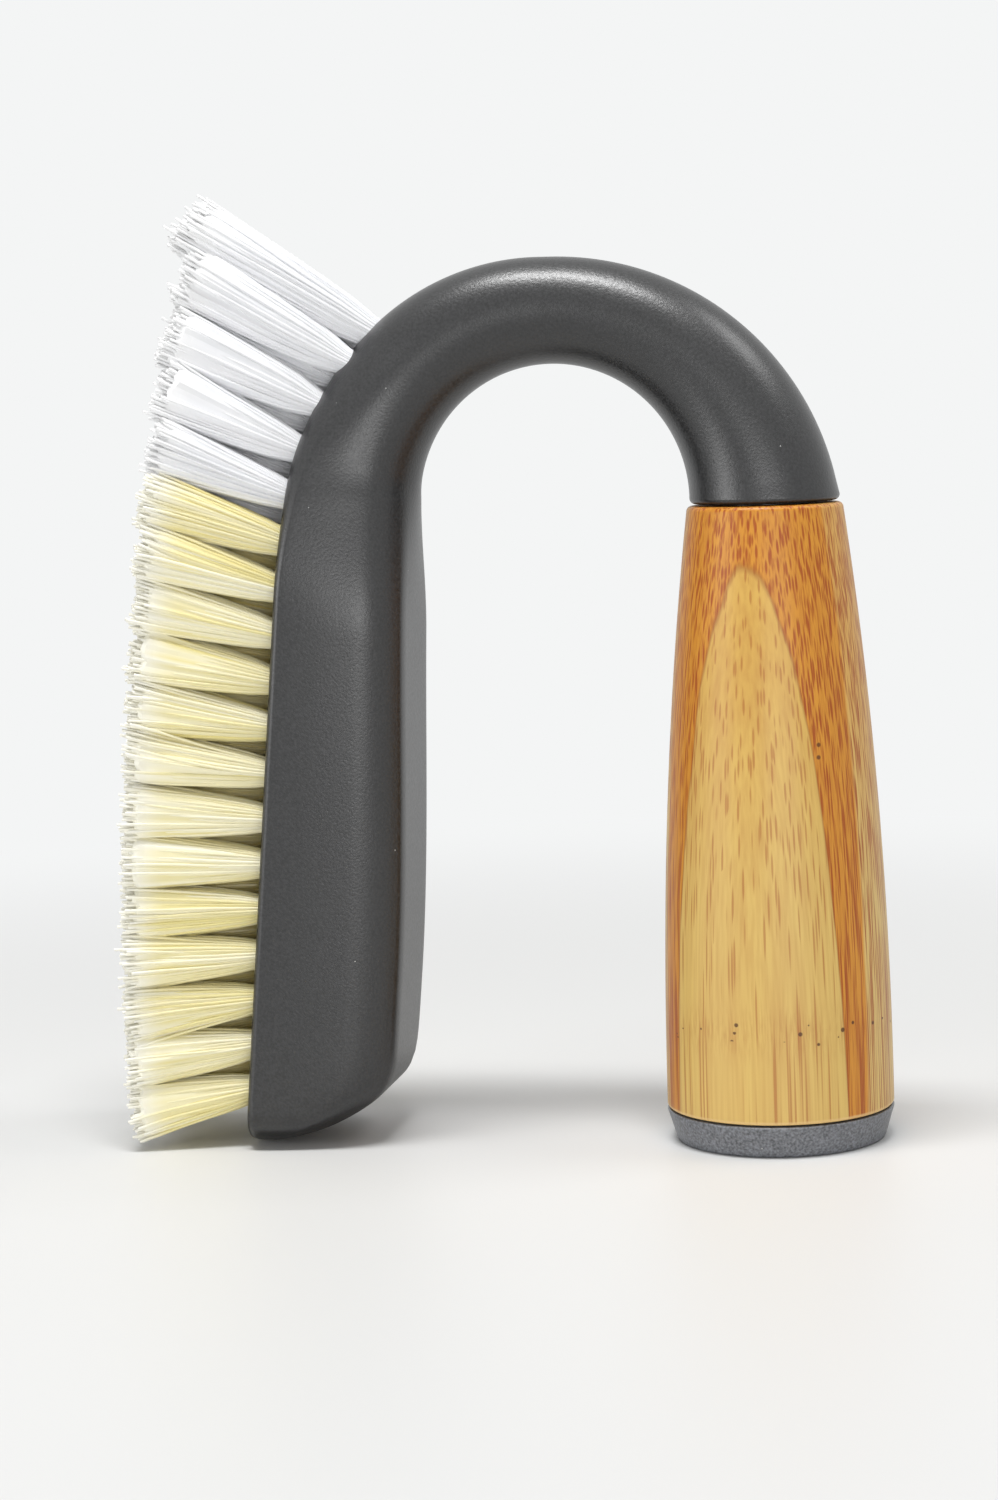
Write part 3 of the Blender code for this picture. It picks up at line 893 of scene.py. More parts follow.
@dataclass(frozen=True)
class HeadAndNeck:
    """The grey moulding: brush head, arched neck and the tenon inside the grip, in one surface.

    Every section is half an outline, from the middle of its face to its back, and its mirror. The
    outline's flats are counted for its face, rim, side, shoulder and back, and the stations for the
    heel, the straight face, the toe and the neck. Refine multiplies both.
    """

    plan: BrushPlan
    finish: MouldedPlastic
    node: str = "head_and_neck"
    rim_round: float = 1.4 * MM
    side_bulge: float = 0.34 * MM
    shoulder_half_width: float = 15.8 * MM
    shoulder_depth: float = 16.5 * MM
    shoulder_pull: tuple[float, float] = (0.45, 0.12)
    crease_pull: tuple[float, float] = (0.17, 0.41)
    crease_soften: float = 1.3 * MM
    back_half_width: float = 10.0 * MM
    neck_edge_round: float = 1.0 * MM
    neck_edge_flats: int = 8
    last_neck_angle: float = math.radians(4)
    heel_run: float = 13.0 * MM
    tenon_chamfer: float = 0.8 * MM
    pilot_depth: float = 19.0 * MM
    refine: int = 4
    flats: tuple[int, ...] = (2, 3, 3, 4, 2)
    station_counts: tuple[int, ...] = (8, 9, 12, 18)

    def tube_outline(self, diameter: float) -> list[Vector]:
        """Half a round section, as (out, across).

        Args:
            diameter: its diameter.

        Returns:
            The points.
        """
        radius = diameter / 2
        steps = sum(self.flats) * self.refine
        turns = [math.pi * step / steps for step in range(steps + 1)]
        return [Vector((radius * math.cos(turn) - radius, radius * math.sin(turn))) for turn in turns]

    def head_outline(self, half_width: float, depth: float) -> list[Vector]:
        """Half a section of the head, as (out, across).

        Args:
            half_width: half the width of its face.
            depth: its thickness from face to back.

        Returns:
            The points.
        """
        plan = self.plan
        rim = min(self.rim_round, half_width / 3, depth / 3)
        narrow = half_width / plan.head_half_width
        shoulder_out = -self.shoulder_depth * depth / plan.head_depth
        shoulder = Vector((shoulder_out, self.shoulder_half_width * narrow))
        crease = Vector((-depth, self.back_half_width * narrow))
        side = Vector((-rim, half_width))
        deep, wide = depth + shoulder.x, shoulder.y - crease.y
        along = (shoulder - side) / 3
        bulge = Vector((0, self.side_bulge * narrow))
        turn_in = shoulder - Vector((self.shoulder_pull[0] * deep, self.shoulder_pull[1] * wide))
        turn_back = crease + Vector((self.crease_pull[0] * deep, self.crease_pull[1] * wide))
        face, edge, flank, bend, back = (count * self.refine for count in self.flats)
        points = [Vector((0, (half_width - rim) * step / face)) for step in range(face)]
        points += [Vector(place) for place in arc((-rim, half_width - rim), rim, 0, edge)]
        points += self.curve((side, side + along + bulge, shoulder - along + bulge, shoulder), flank)
        points += self.curve((shoulder, turn_in, turn_back, crease), bend)
        points += [Vector((crease.x, mix(crease.y, 0, step / back))) for step in range(1, back + 1)]
        return self.soften(points, crease, turn_back, self.crease_soften * narrow)

    @staticmethod
    def curve(knots: tuple[Vector, ...], steps: int) -> list[Vector]:
        """Points after the first of a cubic curve, given by its ends with their handles between."""
        return [point.to_2d() for point in interpolate_bezier(*knots, steps + 1)[1:]]

    @staticmethod
    def soften(points: list[Vector], corner: Vector, before: Vector, reach: float) -> list[Vector]:
        """Rounds one corner of an outline.

        Args:
            points: the outline.
            corner: the corner.
            before: a point that the outline comes from as it nears the corner.
            reach: how far from the corner the rounding starts and ends.

        Returns:
            The outline with its points near the corner moved onto the round.
        """
        start = corner + (before - corner).normalized() * reach
        end = corner + Vector((0, -reach))
        rounded = []
        for point in points:
            gap = (point - corner).length
            if gap >= reach or reach <= 0:
                rounded.append(point)
                continue
            sign = -1 if point.y > corner.y else 1
            share = (sign * gap + reach) / (2 * reach)
            first = start.lerp(corner, share)
            rounded.append(first.lerp(corner.lerp(end, share), share))
        return rounded

    def section(self, down: float) -> list[Vector]:
        """Half the section between the round neck and the full head.

        Args:
            down: distance down the face.

        Returns:
            The points.
        """
        plan = self.plan
        depth = plan.section_depth(down)
        box = self.head_outline(plan.face_half_width(down), depth)
        half = []
        for round_point, box_point in zip(self.tube_outline(depth), box):
            share = mix(plan.face_flare(down), plan.back_flare(down), -box_point.x / depth)
            half.append(round_point.lerp(box_point, share))
        return half

    @staticmethod
    def ring(place: Vector, outward: Vector, half: list[Vector]) -> list[Vector]:
        """The loop of a section, from the middle of its face, the way that looks and its half."""
        loop = half + [Vector((point.x, -point.y)) for point in half[-2:0:-1]]
        return [place + outward * point.x + ACROSS * point.y for point in loop]

    def neck_ring(self, angle: float) -> list[Vector]:
        """A round section of the neck.

        Args:
            angle: its angle about the centre of the arch.

        Returns:
            The points of the loop.
        """
        plan = self.plan
        outward = Vector((math.cos(angle), 0, math.sin(angle)))
        outside = plan.outer_radius(angle)
        diameter = outside - plan.gap_radius(angle)
        return self.ring(plan.arch_centre + outward * outside, outward, self.tube_outline(diameter))

    def level_ring(self, radius: float, level: float) -> list[Vector]:
        """The loop of a level circle about the axis of the grip."""
        place = Vector((self.plan.axis_x + radius, 0, level))
        return self.ring(place, Vector((1, 0, 0)), self.tube_outline(2 * radius))

    def stations(self) -> list[float]:
        """Where the head's sections are, from the heel to the neck.

        Returns:
            Their distances down the face.
        """
        plan = self.plan
        heel, face, toe, _ = (count * self.refine for count in self.station_counts)
        # The first two sections of the heel would shrink to a point
        turns = [math.pi / 2 * step / heel for step in range(2, heel + 1)]
        downs = [plan.face_length - self.heel_run * (1 - math.cos(turn)) for turn in turns]
        for steps, end in ((face, plan.back_flare_end), (toe, -plan.face_flare_start)):
            start = downs[-1]
            downs += [mix(start, end, step / steps) for step in range(1, steps + 1)]
        return downs

    def rings(self) -> list[list[Vector]]:
        """Sections of the moulding from its heel, over the crown, to the pilot hole of its tenon.

        Returns:
            The loops, each with as many points.
        """
        plan = self.plan
        rings = [self.ring(*plan.face_frame(down), self.section(down)) for down in self.stations()]
        start = plan.toe_angle(-plan.face_flare_start)
        count = self.station_counts[-1] * self.refine
        for step in range(1, count + 1):
            rings.append(self.neck_ring(mix(start, self.last_neck_angle, step / count)))
        edge = self.neck_edge_round
        foot = plan.joint_level - plan.tenon_length
        bore = plan.screw_radius + plan.fit_gap
        centre = (plan.neck_end_radius - edge, plan.joint_level + edge)
        profile = arc(centre, edge, -math.pi / 2, self.neck_edge_flats)[::-1]
        profile += [(plan.tenon_radius, plan.joint_level), (plan.tenon_radius, foot + self.tenon_chamfer)]
        profile += [(plan.tenon_radius - self.tenon_chamfer, foot)]
        profile += [(bore, foot), (bore, foot + self.pilot_depth)]
        return rings + [self.level_ring(radius, level) for radius, level in profile]

    @staticmethod
    def loft(rings: list[list[Vector]]) -> bmesh.types.BMesh:
        """Makes a solid through rings: each step extrudes the end face and moves its corners.

        Args:
            rings: loops with as many points as each other.

        Returns:
            The solid's mesh.
        """
        shape = bmesh.new()
        start = [shape.verts.new(point) for point in rings[0]]
        end = shape.faces.new(start)
        for points in rings[1:]:
            end = bmesh.ops.extrude_discrete_faces(shape, faces=[end])["faces"][0]
            for corner, point in zip(end.verts, points):
                corner.co = point
        shape.faces.new(start)
        bmesh.ops.recalc_face_normals(shape, faces=shape.faces)
        return shape

    def drill(self, piece: bpy.types.Object, cutters: bmesh.types.BMesh) -> None:
        """Takes cutters out of the moulding.

        Args:
            piece: the moulding.
            cutters: closed shapes, which are freed.
        """
        tool = new_piece("tuft_hole_tool", cutters)
        cut = piece.modifiers.new("tuft_holes", "BOOLEAN")
        cut.object = tool
        depsgraph = bpy.context.evaluated_depsgraph_get()
        drilled = bpy.data.meshes.new_from_object(piece.evaluated_get(depsgraph))
        piece.modifiers.clear()
        piece.data = drilled
        bpy.data.objects.remove(tool)

    def build(self, tufts: list["BristleTuft"]) -> None:
        """Makes the moulding, drills a hole with a broken edge for each tuft and seats it.

        Args:
            tufts: the tufts that it holds.
        """
        piece = new_piece("head_and_neck_moulding", self.loft(self.rings()))
        holes = bmesh.new()
        edges = bmesh.new()
        for tuft in tufts:
            tuft.add_hole(holes, edges)
        self.drill(piece, holes)
        self.drill(piece, edges)
        piece.data.shade_smooth()
        piece.data.set_sharp_from_angle(angle=SHARP_ANGLE)
        even = piece.modifiers.new("even_shading", "WEIGHTED_NORMAL")
        even.keep_sharp = True
        seat_piece(piece, self.node, self.finish.material())


@dataclass(frozen=True)
class BambooGrip:
    """The turned grip, bored from above for the tenon and from below for the screw."""

    plan: BrushPlan
    finish: TurnedBamboo
    node: str = "bamboo_grip"
    fullness: float = 2.1
    top_round: float = 1.0 * MM
    foot_round: float = 0.5 * MM
    web: float = 22.0 * MM
    access_radius: float = 6.8 * MM
    sides: int = 160
    steps: int = 64
    round_steps: int = 8

    def profile(self) -> list[tuple[float, float]]:
        """Outline of the bored grip, from the foot of its bore round the outside and back.

        Returns:
            Points of (radius, height).
        """
        plan = self.plan
        foot_edge = (plan.grip_base_radius - self.foot_round, plan.grip_foot + self.foot_round)
        top_edge = (plan.grip_top_radius - self.top_round, plan.grip_top - self.top_round)
        web_top = plan.grip_top - plan.tenon_length
        web_foot = web_top - self.web
        socket = plan.tenon_radius + plan.fit_gap
        screw_hole = plan.screw_radius + plan.fit_gap
        profile = [(self.access_radius, plan.grip_foot)]
        profile += arc(foot_edge, self.foot_round, -math.pi / 2, self.round_steps)
        for step in range(1, self.steps):
            share = step / self.steps
            radius = mix(plan.grip_base_radius, plan.grip_top_radius, share**self.fullness)
            profile.append((radius, mix(foot_edge[1], top_edge[1], share)))
        profile += arc(top_edge, self.top_round, 0, self.round_steps)
        profile += [(socket, plan.grip_top), (socket, web_top), (screw_hole, web_top)]
        profile += [(screw_hole, web_foot), (self.access_radius, web_foot)]
        return profile

    def build(self) -> None:
        """Turns the grip and seats it."""
        piece = new_piece("turned_grip", turn_solid(self.profile(), self.plan.axis_x, self.sides))
        seat_piece(piece, self.node, self.finish.material())


@dataclass(frozen=True)
class EndCap:
    """The grey disc under the grip, drawn in towards its foot, with a hollow plug in the bore."""

    plan: BrushPlan
    finish: MouldedPlastic
    plug_radius: float
    node: str = "end_cap"
    draft: float = 1.4 * MM
    edge_round: float = 0.7 * MM
    plug_length: float = 9.0 * MM
    plug_wall: float = 1.8 * MM
    floor: float = 2.6 * MM
    sides: int = 160
    round_steps: int = 6

    def profile(self) -> list[tuple[float, float]]:
        """Outline of the cap, from the middle of its foot round to the floor of its plug.

        Returns:
            Points of (radius, height).
        """
        plan = self.plan
        edge = self.edge_round
        rim = plan.grip_base_radius
        top = plan.grip_foot - plan.fit_gap
        plug_top = top + self.plug_length
        profile = [(0.0, 0.0)]
        profile += arc((rim - self.draft - edge, edge), edge, -math.pi / 2, self.round_steps)
        profile += arc((rim - edge / 2, top - edge / 2), edge / 2, 0, self.round_steps)
        profile += [(self.plug_radius, top), (self.plug_radius, plug_top - edge)]
        profile += [(self.plug_radius - edge, plug_top), (self.plug_radius - self.plug_wall, plug_top)]
        profile += [(self.plug_radius - self.plug_wall, self.floor), (0.0, self.floor)]
        return profile

    def build(self) -> None:
        """Turns the cap and seats it."""
        piece = new_piece("end_cap_moulding", turn_solid(self.profile(), self.plan.axis_x, self.sides))
        seat_piece(piece, self.node, self.finish.material())


@dataclass(frozen=True)
class GripFixing:
    """The screw and washer inside the grip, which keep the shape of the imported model."""

    finish: ZincPlatedSteel
    nodes: tuple[str, ...] = ("grip_screw", "screw_washer")

    def build(self) -> None:
        """Dresses both pieces."""
        steel = self.finish.material()
        for node in self.nodes:
            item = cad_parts[node]
            item.data.materials.clear()
            item.data.materials.append(steel)
            LOG.info("%s: dressed", node)


@dataclass(frozen=True)
class FibreShape:
    """How the filaments of a tuft lie.

    They stand round a fluted core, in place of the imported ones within. The inner filaments start
    inside the core and show past its end.
    """

    strands: int = 240
    radius: float = 0.27 * MM
    sides: int = 7
    steps: int = 6
    sink: float = 3.6 * MM
    inner_reach: float = 0.78
    inner_start: float = 0.8
    inner_steps: int = 2
    head_fullness: float = 1.16
    toe_fullness: float = 1.26
    tip_fullness: float = 0.9
    middle_stretch: float = 1.45
    squareness: float = 4.0
    head_splay_power: float = 0.78
    toe_splay_power: float = 0.6
    middle_splay_power: float = 0.5
    clumps: int = 9
    clump_pull: float = 0.2
    clump_tone: float = 0.65
    core_reach: float = 0.95
    core_length: float = 0.965
    core_end: float = 0.2
    core_end_sharpness: int = 14
    core_sides: int = 40
    core_steps: int = 10
    core_ripple: float = 0.03
    core_raggedness: float = 0.02
    stray: float = 0.26 * MM
    flyaway_share: float = 0.03
    flyaway_stray: float = 1.1 * MM
    wave: float = 0.12 * MM
    sway: float = 0.3 * MM
    unevenness: float = 0.026
    tip_hook: float = 0.14 * MM
    hook_start: float = 0.7

    def square(self, heading: Vector) -> Vector:
        """The point in a direction on the rounded square that the tips fill."""
        return heading * sum(abs(part) ** self.squareness for part in heading) ** (-1 / self.squareness)


@dataclass(frozen=True)
class BristleTuft:
    """One tuft: where it stands on the face, which way it points and how long it is."""

    name: str
    row: "TuftRows"
    level: float
    side: Side
    fibre: Fibre
    shift: float = 0.0
    breadth: float = 1.0

    @property
    def down(self) -> float:
        """Distance of the tuft down the face."""
        steps = self.level + self.shift
        return self.row.plan.face_length - self.row.heel_to_tuft - steps * self.row.pitch

    @property
    def radius(self) -> float:
        """Radius of the tuft where it leaves the face."""
        return self.row.tuft_radius * self.breadth

    @property
    def across(self) -> float:
        """How far to the side the tuft stands.

        Returns:
            Its distance from the middle of the face.
        """
        if self.side is Side.MIDDLE:
            return 0.0
        return mix(self.row.toe_offset, self.row.head_offset, self.row.plan.face_flare(self.down))

    @property
    def toe_share(self) -> float:
        """How far round the toe the tuft stands, from 0 along the head to 1 at the tip."""
        row = self.row
        return max(self.level - row.cream_tufts, 0) / (row.outer_tufts - row.cream_tufts)

    @property
    def length(self) -> float:
        """How long the bristles are: shorter at the heel, and long at the toe.

        Returns:
            Their free length.
        """
        row = self.row
        trim = row.heel_trim * max(1 - self.level / row.heel_trim_tufts, 0) ** 2
        return mix(row.bristle_length, row.toe_bristle_length, self.toe_share**2) - trim

    @property
    def splay_power(self) -> float:
        """How the tuft widens.

        Returns:
            The power of its splay: 1 where it widens evenly, and less where it does so near the face.
        """
        shape = self.row.shape
        if self.side is Side.MIDDLE and self.toe_share < 1:
            return shape.middle_splay_power
        return mix(shape.head_splay_power, shape.toe_splay_power, min(2 * self.toe_share, 1))

    @property
    def room(self) -> float:
        """Half the distance from the tips of this tuft to those of the next."""
        return (self.row.pitch + self.length * self.row.fan_step) / 2

    def rim_tip(self, heading: Vector) -> Vector:
        """Where the outermost filament in a direction ends.

        Args:
            heading: the direction in the tuft's own frame, where X is across the head.

        Returns:
            The place of its tip beside the middle of the tuft.
        """
        shape = self.row.shape
        fullness = mix(shape.head_fullness, shape.toe_fullness, min(2 * self.toe_share, 1))
        if self.toe_share == 1:
            fullness = shape.tip_fullness
        tip = shape.square(heading) * self.room * self.breadth * fullness
        if self.side is Side.MIDDLE:
            tip.x *= shape.middle_stretch
        return tip

    @property
    def direction(self) -> Vector:
        """The way the bristles point.

        Returns:
            A vector one long.
        """
        row = self.row
        fan = row.heel_fan + row.fan_step * self.level
        lean = self.side.value * row.row_lean * self.across / row.head_offset
        return Vector((-math.cos(fan) * math.cos(lean), math.sin(lean), math.sin(fan) * math.cos(lean)))

    @property
    def root(self) -> Vector:
        """Where the tuft leaves the face.

        Returns:
            The place in the model's frame.
        """
        place, outward = self.row.plan.face_frame(self.down)
        half = self.row.moulding.section(self.down)
        out = half[0].x
        for near, far in zip(half, half[1:]):
            if near.y <= self.across <= far.y:
                out = mix(near.x, far.x, (self.across - near.y) / (far.y - near.y))
                break
        return place + outward * out + ACROSS * self.across * self.side.value

    def matrix(self) -> Matrix:
        """The tuft's place, with its own +Z along the bristles."""
        turn = self.direction.to_track_quat("Z", "Y")
        return Matrix.Translation(self.root) @ turn.to_matrix().to_4x4()

    def add_hole(self, holes: bmesh.types.BMesh, edges: bmesh.types.BMesh) -> None:
        """Adds the cutter of the tuft's blind hole, and the one that breaks its edge.

        Args:
            holes: the mesh of the cutters that follow the bristles.
            edges: the mesh of the cutters that are square to the face.
        """
        row = self.row
        radius = self.radius + row.hole_slack
        depth = row.hole_depth + self.radius
        hole = self.matrix() @ Matrix.Translation((0, 0, self.radius - depth / 2))
        outward = row.plan.face_frame(self.down)[1]
        edge = Matrix.Translation(self.root) @ outward.to_track_quat("Z", "Y").to_matrix().to_4x4()
        for shape, mouth, height, place in (
            (holes, radius, depth, hole),
            (edges, radius + 2 * row.hole_edge, 2 * row.hole_edge, edge),
        ):
            bmesh.ops.create_cone(
                shape,
                cap_ends=True,
                segments=row.hole_sides,
                radius1=radius,
                radius2=mouth,
                depth=height,
                matrix=place,
            )

    def add_core(self, mesh: bmesh.types.BMesh, sway: Vector, chance: random.Random) -> None:
        """Adds the inner filaments as one packed and fluted body, seen between the outer ones.

        Args:
            mesh: the mesh of the tuft.
            sway: how far the whole tuft leans.
            chance: the source of its flutes and of their tones.
        """
        shape = self.row.shape
        tone_layer = mesh.verts.layers.float["tone"]
        along = mesh.verts.layers.float["along"]
        made = bmesh.ops.create_circle(mesh, cap_ends=True, segments=shape.core_sides, radius=shape.radius)
        end = made["verts"][0].link_faces[0]
        columns = []
        for corner in end.verts:
            heading = corner.co.to_2d().normalized()
            root = heading * shape.core_reach * (self.radius - shape.radius)
            splay = shape.core_reach * self.rim_tip(heading) - root
            splay *= 1 + chance.gauss(0, shape.core_ripple)
            height = self.length * (1 - abs(chance.gauss(0, shape.core_raggedness)))
            columns.append((root, splay, height, chance.random()))
            corner.co = (root.x, root.y, -shape.sink)
        bmesh.ops.reverse_faces(mesh, faces=[end.copy()])
        for step in range(shape.core_steps + 1):
            share = shape.core_length * math.sin(math.pi / 2 * step / shape.core_steps)
            closed = (step / shape.core_steps) ** shape.core_end_sharpness
            close = math.sqrt(max(1 - closed, shape.core_end**2))
            end = bmesh.ops.extrude_discrete_faces(mesh, faces=[end])["faces"][0]
            for corner, (root, splay, height, tone) in zip(end.verts, columns):
                place = (root + splay * share**self.splay_power) * close + sway * share**2
                corner.co = (place.x, place.y, height * share)
                corner[tone_layer] = tone
                corner[along] = share

    def add_discs(self, mesh: bmesh.types.BMesh, strands: list["Strand"]) -> list[bmesh.types.BMFace]:
        """Adds the disc that each filament grows from.

        Args:
            mesh: the mesh of the tuft.
            strands: the filaments.

        Returns:
            The discs, in the order of the filaments.
        """
        shape = self.row.shape
        which = mesh.verts.layers.int["strand"]
        tone = mesh.verts.layers.float["tone"]
        along = mesh.verts.layers.float["along"]
        discs = []
        for number, strand in enumerate(strands):
            made = bmesh.ops.create_circle(
                mesh,
                cap_ends=True,
                segments=shape.sides,
                radius=shape.radius,
                matrix=Matrix.Translation(strand.end),
            )
            for corner in made["verts"]:
                corner[which] = number
                corner[tone] = strand.tone
                corner[along] = strand.start
            discs.append(made["verts"][0].link_faces[0])
        bmesh.ops.reverse_faces(mesh, faces=[disc.copy() for disc in discs])
        return discs

    def grow(
        self,
        mesh: bmesh.types.BMesh,
        strands: list["Strand"],
        ends: list[bmesh.types.BMFace],
        shares: list[float],
    ) -> list[bmesh.types.BMFace]:
        """Extrudes filaments step by step.

        Args:
            mesh: the mesh of the tuft.
            strands: all the filaments of the tuft.
            ends: the discs of those that grow.
            shares: how far along the free length each step ends.

        Returns:
            The cut ends.
        """
        which = mesh.verts.layers.int["strand"]
        along = mesh.verts.layers.float["along"]
        for share in shares:
            ends = bmesh.ops.extrude_discrete_faces(mesh, faces=ends)["faces"]
            for face in ends:
                strand = strands[face.verts[0][which]]
                place = strand.place(share)
                for corner in face.verts:
                    corner.co += place - strand.end
                    corner[along] = share
                strand.end = place
        return ends

    def build(self, chance: random.Random, material: bpy.types.Material) -> None:
        """Grows the filaments from a packed disc inside the hole, and seats the tuft.

        Args:
            chance: the source of their small differences.
            material: their finish.
        """
        shape = self.row.shape
        mesh = bmesh.new()
        for layer in ("tone", "along"):
            mesh.verts.layers.float.new(layer)
        mesh.verts.layers.int.new("strand")
        tone = mesh.verts.layers.float["tone"]
        along = mesh.verts.layers.float["along"]
        count = round(shape.strands * self.breadth**2)
        strands = [Strand(self, shape, chance, number, count) for number in range(count)]
        sway = Vector((chance.gauss(0, shape.sway), chance.gauss(0, shape.sway)))
        centres = [
            (strand.root + strand.splay, chance.random())
            for strand in chance.sample(strands, shape.clumps)
        ]
        for strand in strands:
            strand.lean(centres, sway)
        discs = self.add_discs(mesh, strands)
        inner = [disc for disc, strand in zip(discs, strands) if strand.start > 0]
        outer = [disc for disc, strand in zip(discs, strands) if strand.start == 0]
        steps = shape.inner_steps
        shares = [mix(shape.inner_start, 1, step / steps) for step in range(1, steps + 1)]
        tips = self.grow(mesh, strands, inner, shares)
        tips += self.grow(mesh, strands, outer, [step / shape.steps for step in range(shape.steps + 1)])
        for edge in mesh.edges:
            edge.smooth = True
        for face in mesh.faces:
            face.smooth = True
        for face in tips:
            for edge in face.edges:
                edge.smooth = False
        self.add_core(mesh, sway, chance)
        uv = mesh.loops.layers.uv.new("strand_tone_and_reach")
        for face in mesh.faces:
            for loop in face.loops:
                loop[uv].uv = (loop.vert[tone], loop.vert[along])
        bmesh.ops.transform(mesh, matrix=self.matrix(), verts=mesh.verts)
        piece = new_piece(f"{self.name}_filaments", mesh, by_angle=False)
        seat_piece(piece, self.name, material)


class Strand:
    """One filament, in its tuft's own frame."""

    def __init__(
        self, tuft: BristleTuft, shape: FibreShape, chance: random.Random, number: int, count: int
    ) -> None:
        """Draws the filament's small differences.

        Args:
            tuft: the tuft that it stands in.
            shape: how the filaments of the tuft lie.
            chance: the source of the differences.
            number: its place in the spiral that packs the root.
            count: how many filaments the tuft has.
        """
        reach = math.sqrt((number + 0.5) / count)
        turn = number * math.pi * (3 - math.sqrt(5))
        heading = Vector((math.cos(turn), math.sin(turn)))
        flyaway = chance.random() < shape.flyaway_share
        stray = shape.flyaway_stray if flyaway else shape.stray
        self.tuft = tuft
        self.shape = shape
        self.start = shape.inner_start if reach < shape.inner_reach else 0.0
        self.root = heading * reach * (tuft.radius - shape.radius)
        self.splay = reach * tuft.rim_tip(heading) - self.root
        self.stray = Vector((chance.gauss(0, stray), chance.gauss(0, stray)))
        self.hook = Vector((chance.gauss(0, shape.tip_hook), chance.gauss(0, shape.tip_hook)))
        self.wave = Vector((chance.gauss(0, shape.wave), chance.gauss(0, shape.wave)))
        self.length = tuft.length * (1 + chance.gauss(0, shape.unevenness))
        self.tone = chance.random()

    def lean(self, clumps: list[tuple[Vector, float]], sway: Vector) -> None:
        """Draws the tip and the tone towards the nearest clump, and moves the tip with the tuft.

        Args:
            clumps: where the clumps of tips gather, and the tone of each.
            sway: how far the whole tuft leans.
        """
        tip = self.root + self.splay
        nearest, tone = min(clumps, key=lambda clump: (clump[0] - tip).length)
        self.stray += (nearest - tip) * self.shape.clump_pull + sway
        self.tone = mix(self.tone, tone, self.shape.clump_tone)
        self.end = self.place(self.start)
        if self.start == 0:
            self.end.z = -self.shape.sink

    def place(self, share: float) -> Vector:
        """Where the filament is.

        Args:
            share: how far along its free length, from 0 at the face to 1 at its tip.

        Returns:
            The place in the tuft's frame.
        """
        shape = self.shape
        side = self.root + self.splay * share**self.tuft.splay_power + self.stray * share**2
        side += self.wave * math.sin(2 * math.pi * share) * share
        side += self.hook * max(share - shape.hook_start, 0) / (1 - shape.hook_start)
        return Vector((side.x, side.y, self.length * share))


@dataclass(frozen=True)
class TuftRows:
    """The three rows of tufts: cream in the outer rows, white in the middle and round the toe, with painted
    warm light on the middle row between the cream rows.
    """

    plan: BrushPlan
    moulding: HeadAndNeck
    shape: FibreShape
    cream: NylonFilament
    white: NylonFilament
    # Nylon with painted warm light, for the middle row between the cream rows
    painted_warm_nylon: NylonFilament
    cream_tufts: int = 13
    outer_tufts: int = 17
    tuft_radius: float = 2.5 * MM
    hole_depth: float = 5.0 * MM
    hole_slack: float = 0.06 * MM
    hole_edge: float = 0.15 * MM
    hole_sides: int = 32
    rim_to_tuft: float = 6.2 * MM
    toe_offset: float = 3.3 * MM
    toe_crowding: float = 0.019
    tip_shift: float = -0.06
    tip_breadth: float = 1.25
    heel_to_tuft: float = 10.2 * MM
    tangent_to_tip_tuft: float = 31.6 * MM
    bristle_length: float = 25.0 * MM
    toe_bristle_length: float = 36.4 * MM
    heel_trim: float = 3.4 * MM
    heel_trim_tufts: int = 8
    heel_fan: float = math.radians(-9)
    toe_fan: float = math.radians(32.5)
    row_lean: float = math.radians(6)
    seed: int = 7

    @property
    def pitch(self) -> float:
        """Distance from one tuft to the next in a row."""
        run = self.plan.face_length - self.heel_to_tuft + self.tangent_to_tip_tuft
        return run / self.outer_tufts

    def crowding(self, level: float) -> float:
        """How far the toe's tufts stand closer to the tip than an even pitch has them, in steps."""
        return self.toe_crowding * max(level - self.cream_tufts, 0) ** 2

    @property
    def fan_step(self) -> float:
        """Angle between the bristles of one tuft and those of the next in a row."""
        return (self.toe_fan - self.heel_fan) / self.outer_tufts

    @property
    def head_offset(self) -> float:
        """Distance of the outer rows from the middle of the full head."""
        return self.plan.head_half_width - self.rim_to_tuft

    def tufts(self) -> list[BristleTuft]:
        """Places every tuft.

        Returns:
            The tufts, row by row from the heel up.
        """
        tufts = []
        for side, word in ((Side.NEAR, "near"), (Side.FAR, "far")):
            for level in range(self.outer_tufts):
                fibre, name = Fibre.CREAM, f"outer_tuft_{word}_{level + 1:02d}"
                if level >= self.cream_tufts:
                    fibre, name = Fibre.WHITE, f"toe_tuft_{word}_{level - self.cream_tufts + 1}"
                tufts.append(BristleTuft(name, self, level, side, fibre, self.crowding(level)))
        for step in range(self.outer_tufts - 1):
            level = step + 0.5
            name = f"centre_tuft_{step + 1:02d}"
            tufts.append(BristleTuft(name, self, level, Side.MIDDLE, Fibre.WHITE, self.crowding(level)))
        tip = (self.outer_tufts, Side.MIDDLE, Fibre.WHITE, self.tip_shift, self.tip_breadth)
        tufts.append(BristleTuft("tip_tuft", self, *tip))
        return tufts

    def build(self) -> None:
        """Grows and seats every tuft."""
        chance = random.Random(self.seed)
        finishes = {Fibre.CREAM: self.cream.material(), Fibre.WHITE: self.white.material()}
        painted_warm_nylon = self.painted_warm_nylon.material()
        for tuft in self.tufts():
            # The middle tufts between the cream rows take the nylon with painted warm light
            among_cream = tuft.side is Side.MIDDLE and tuft.level < self.cream_tufts - 1
            tuft.build(chance, painted_warm_nylon if among_cream else finishes[tuft.fibre])


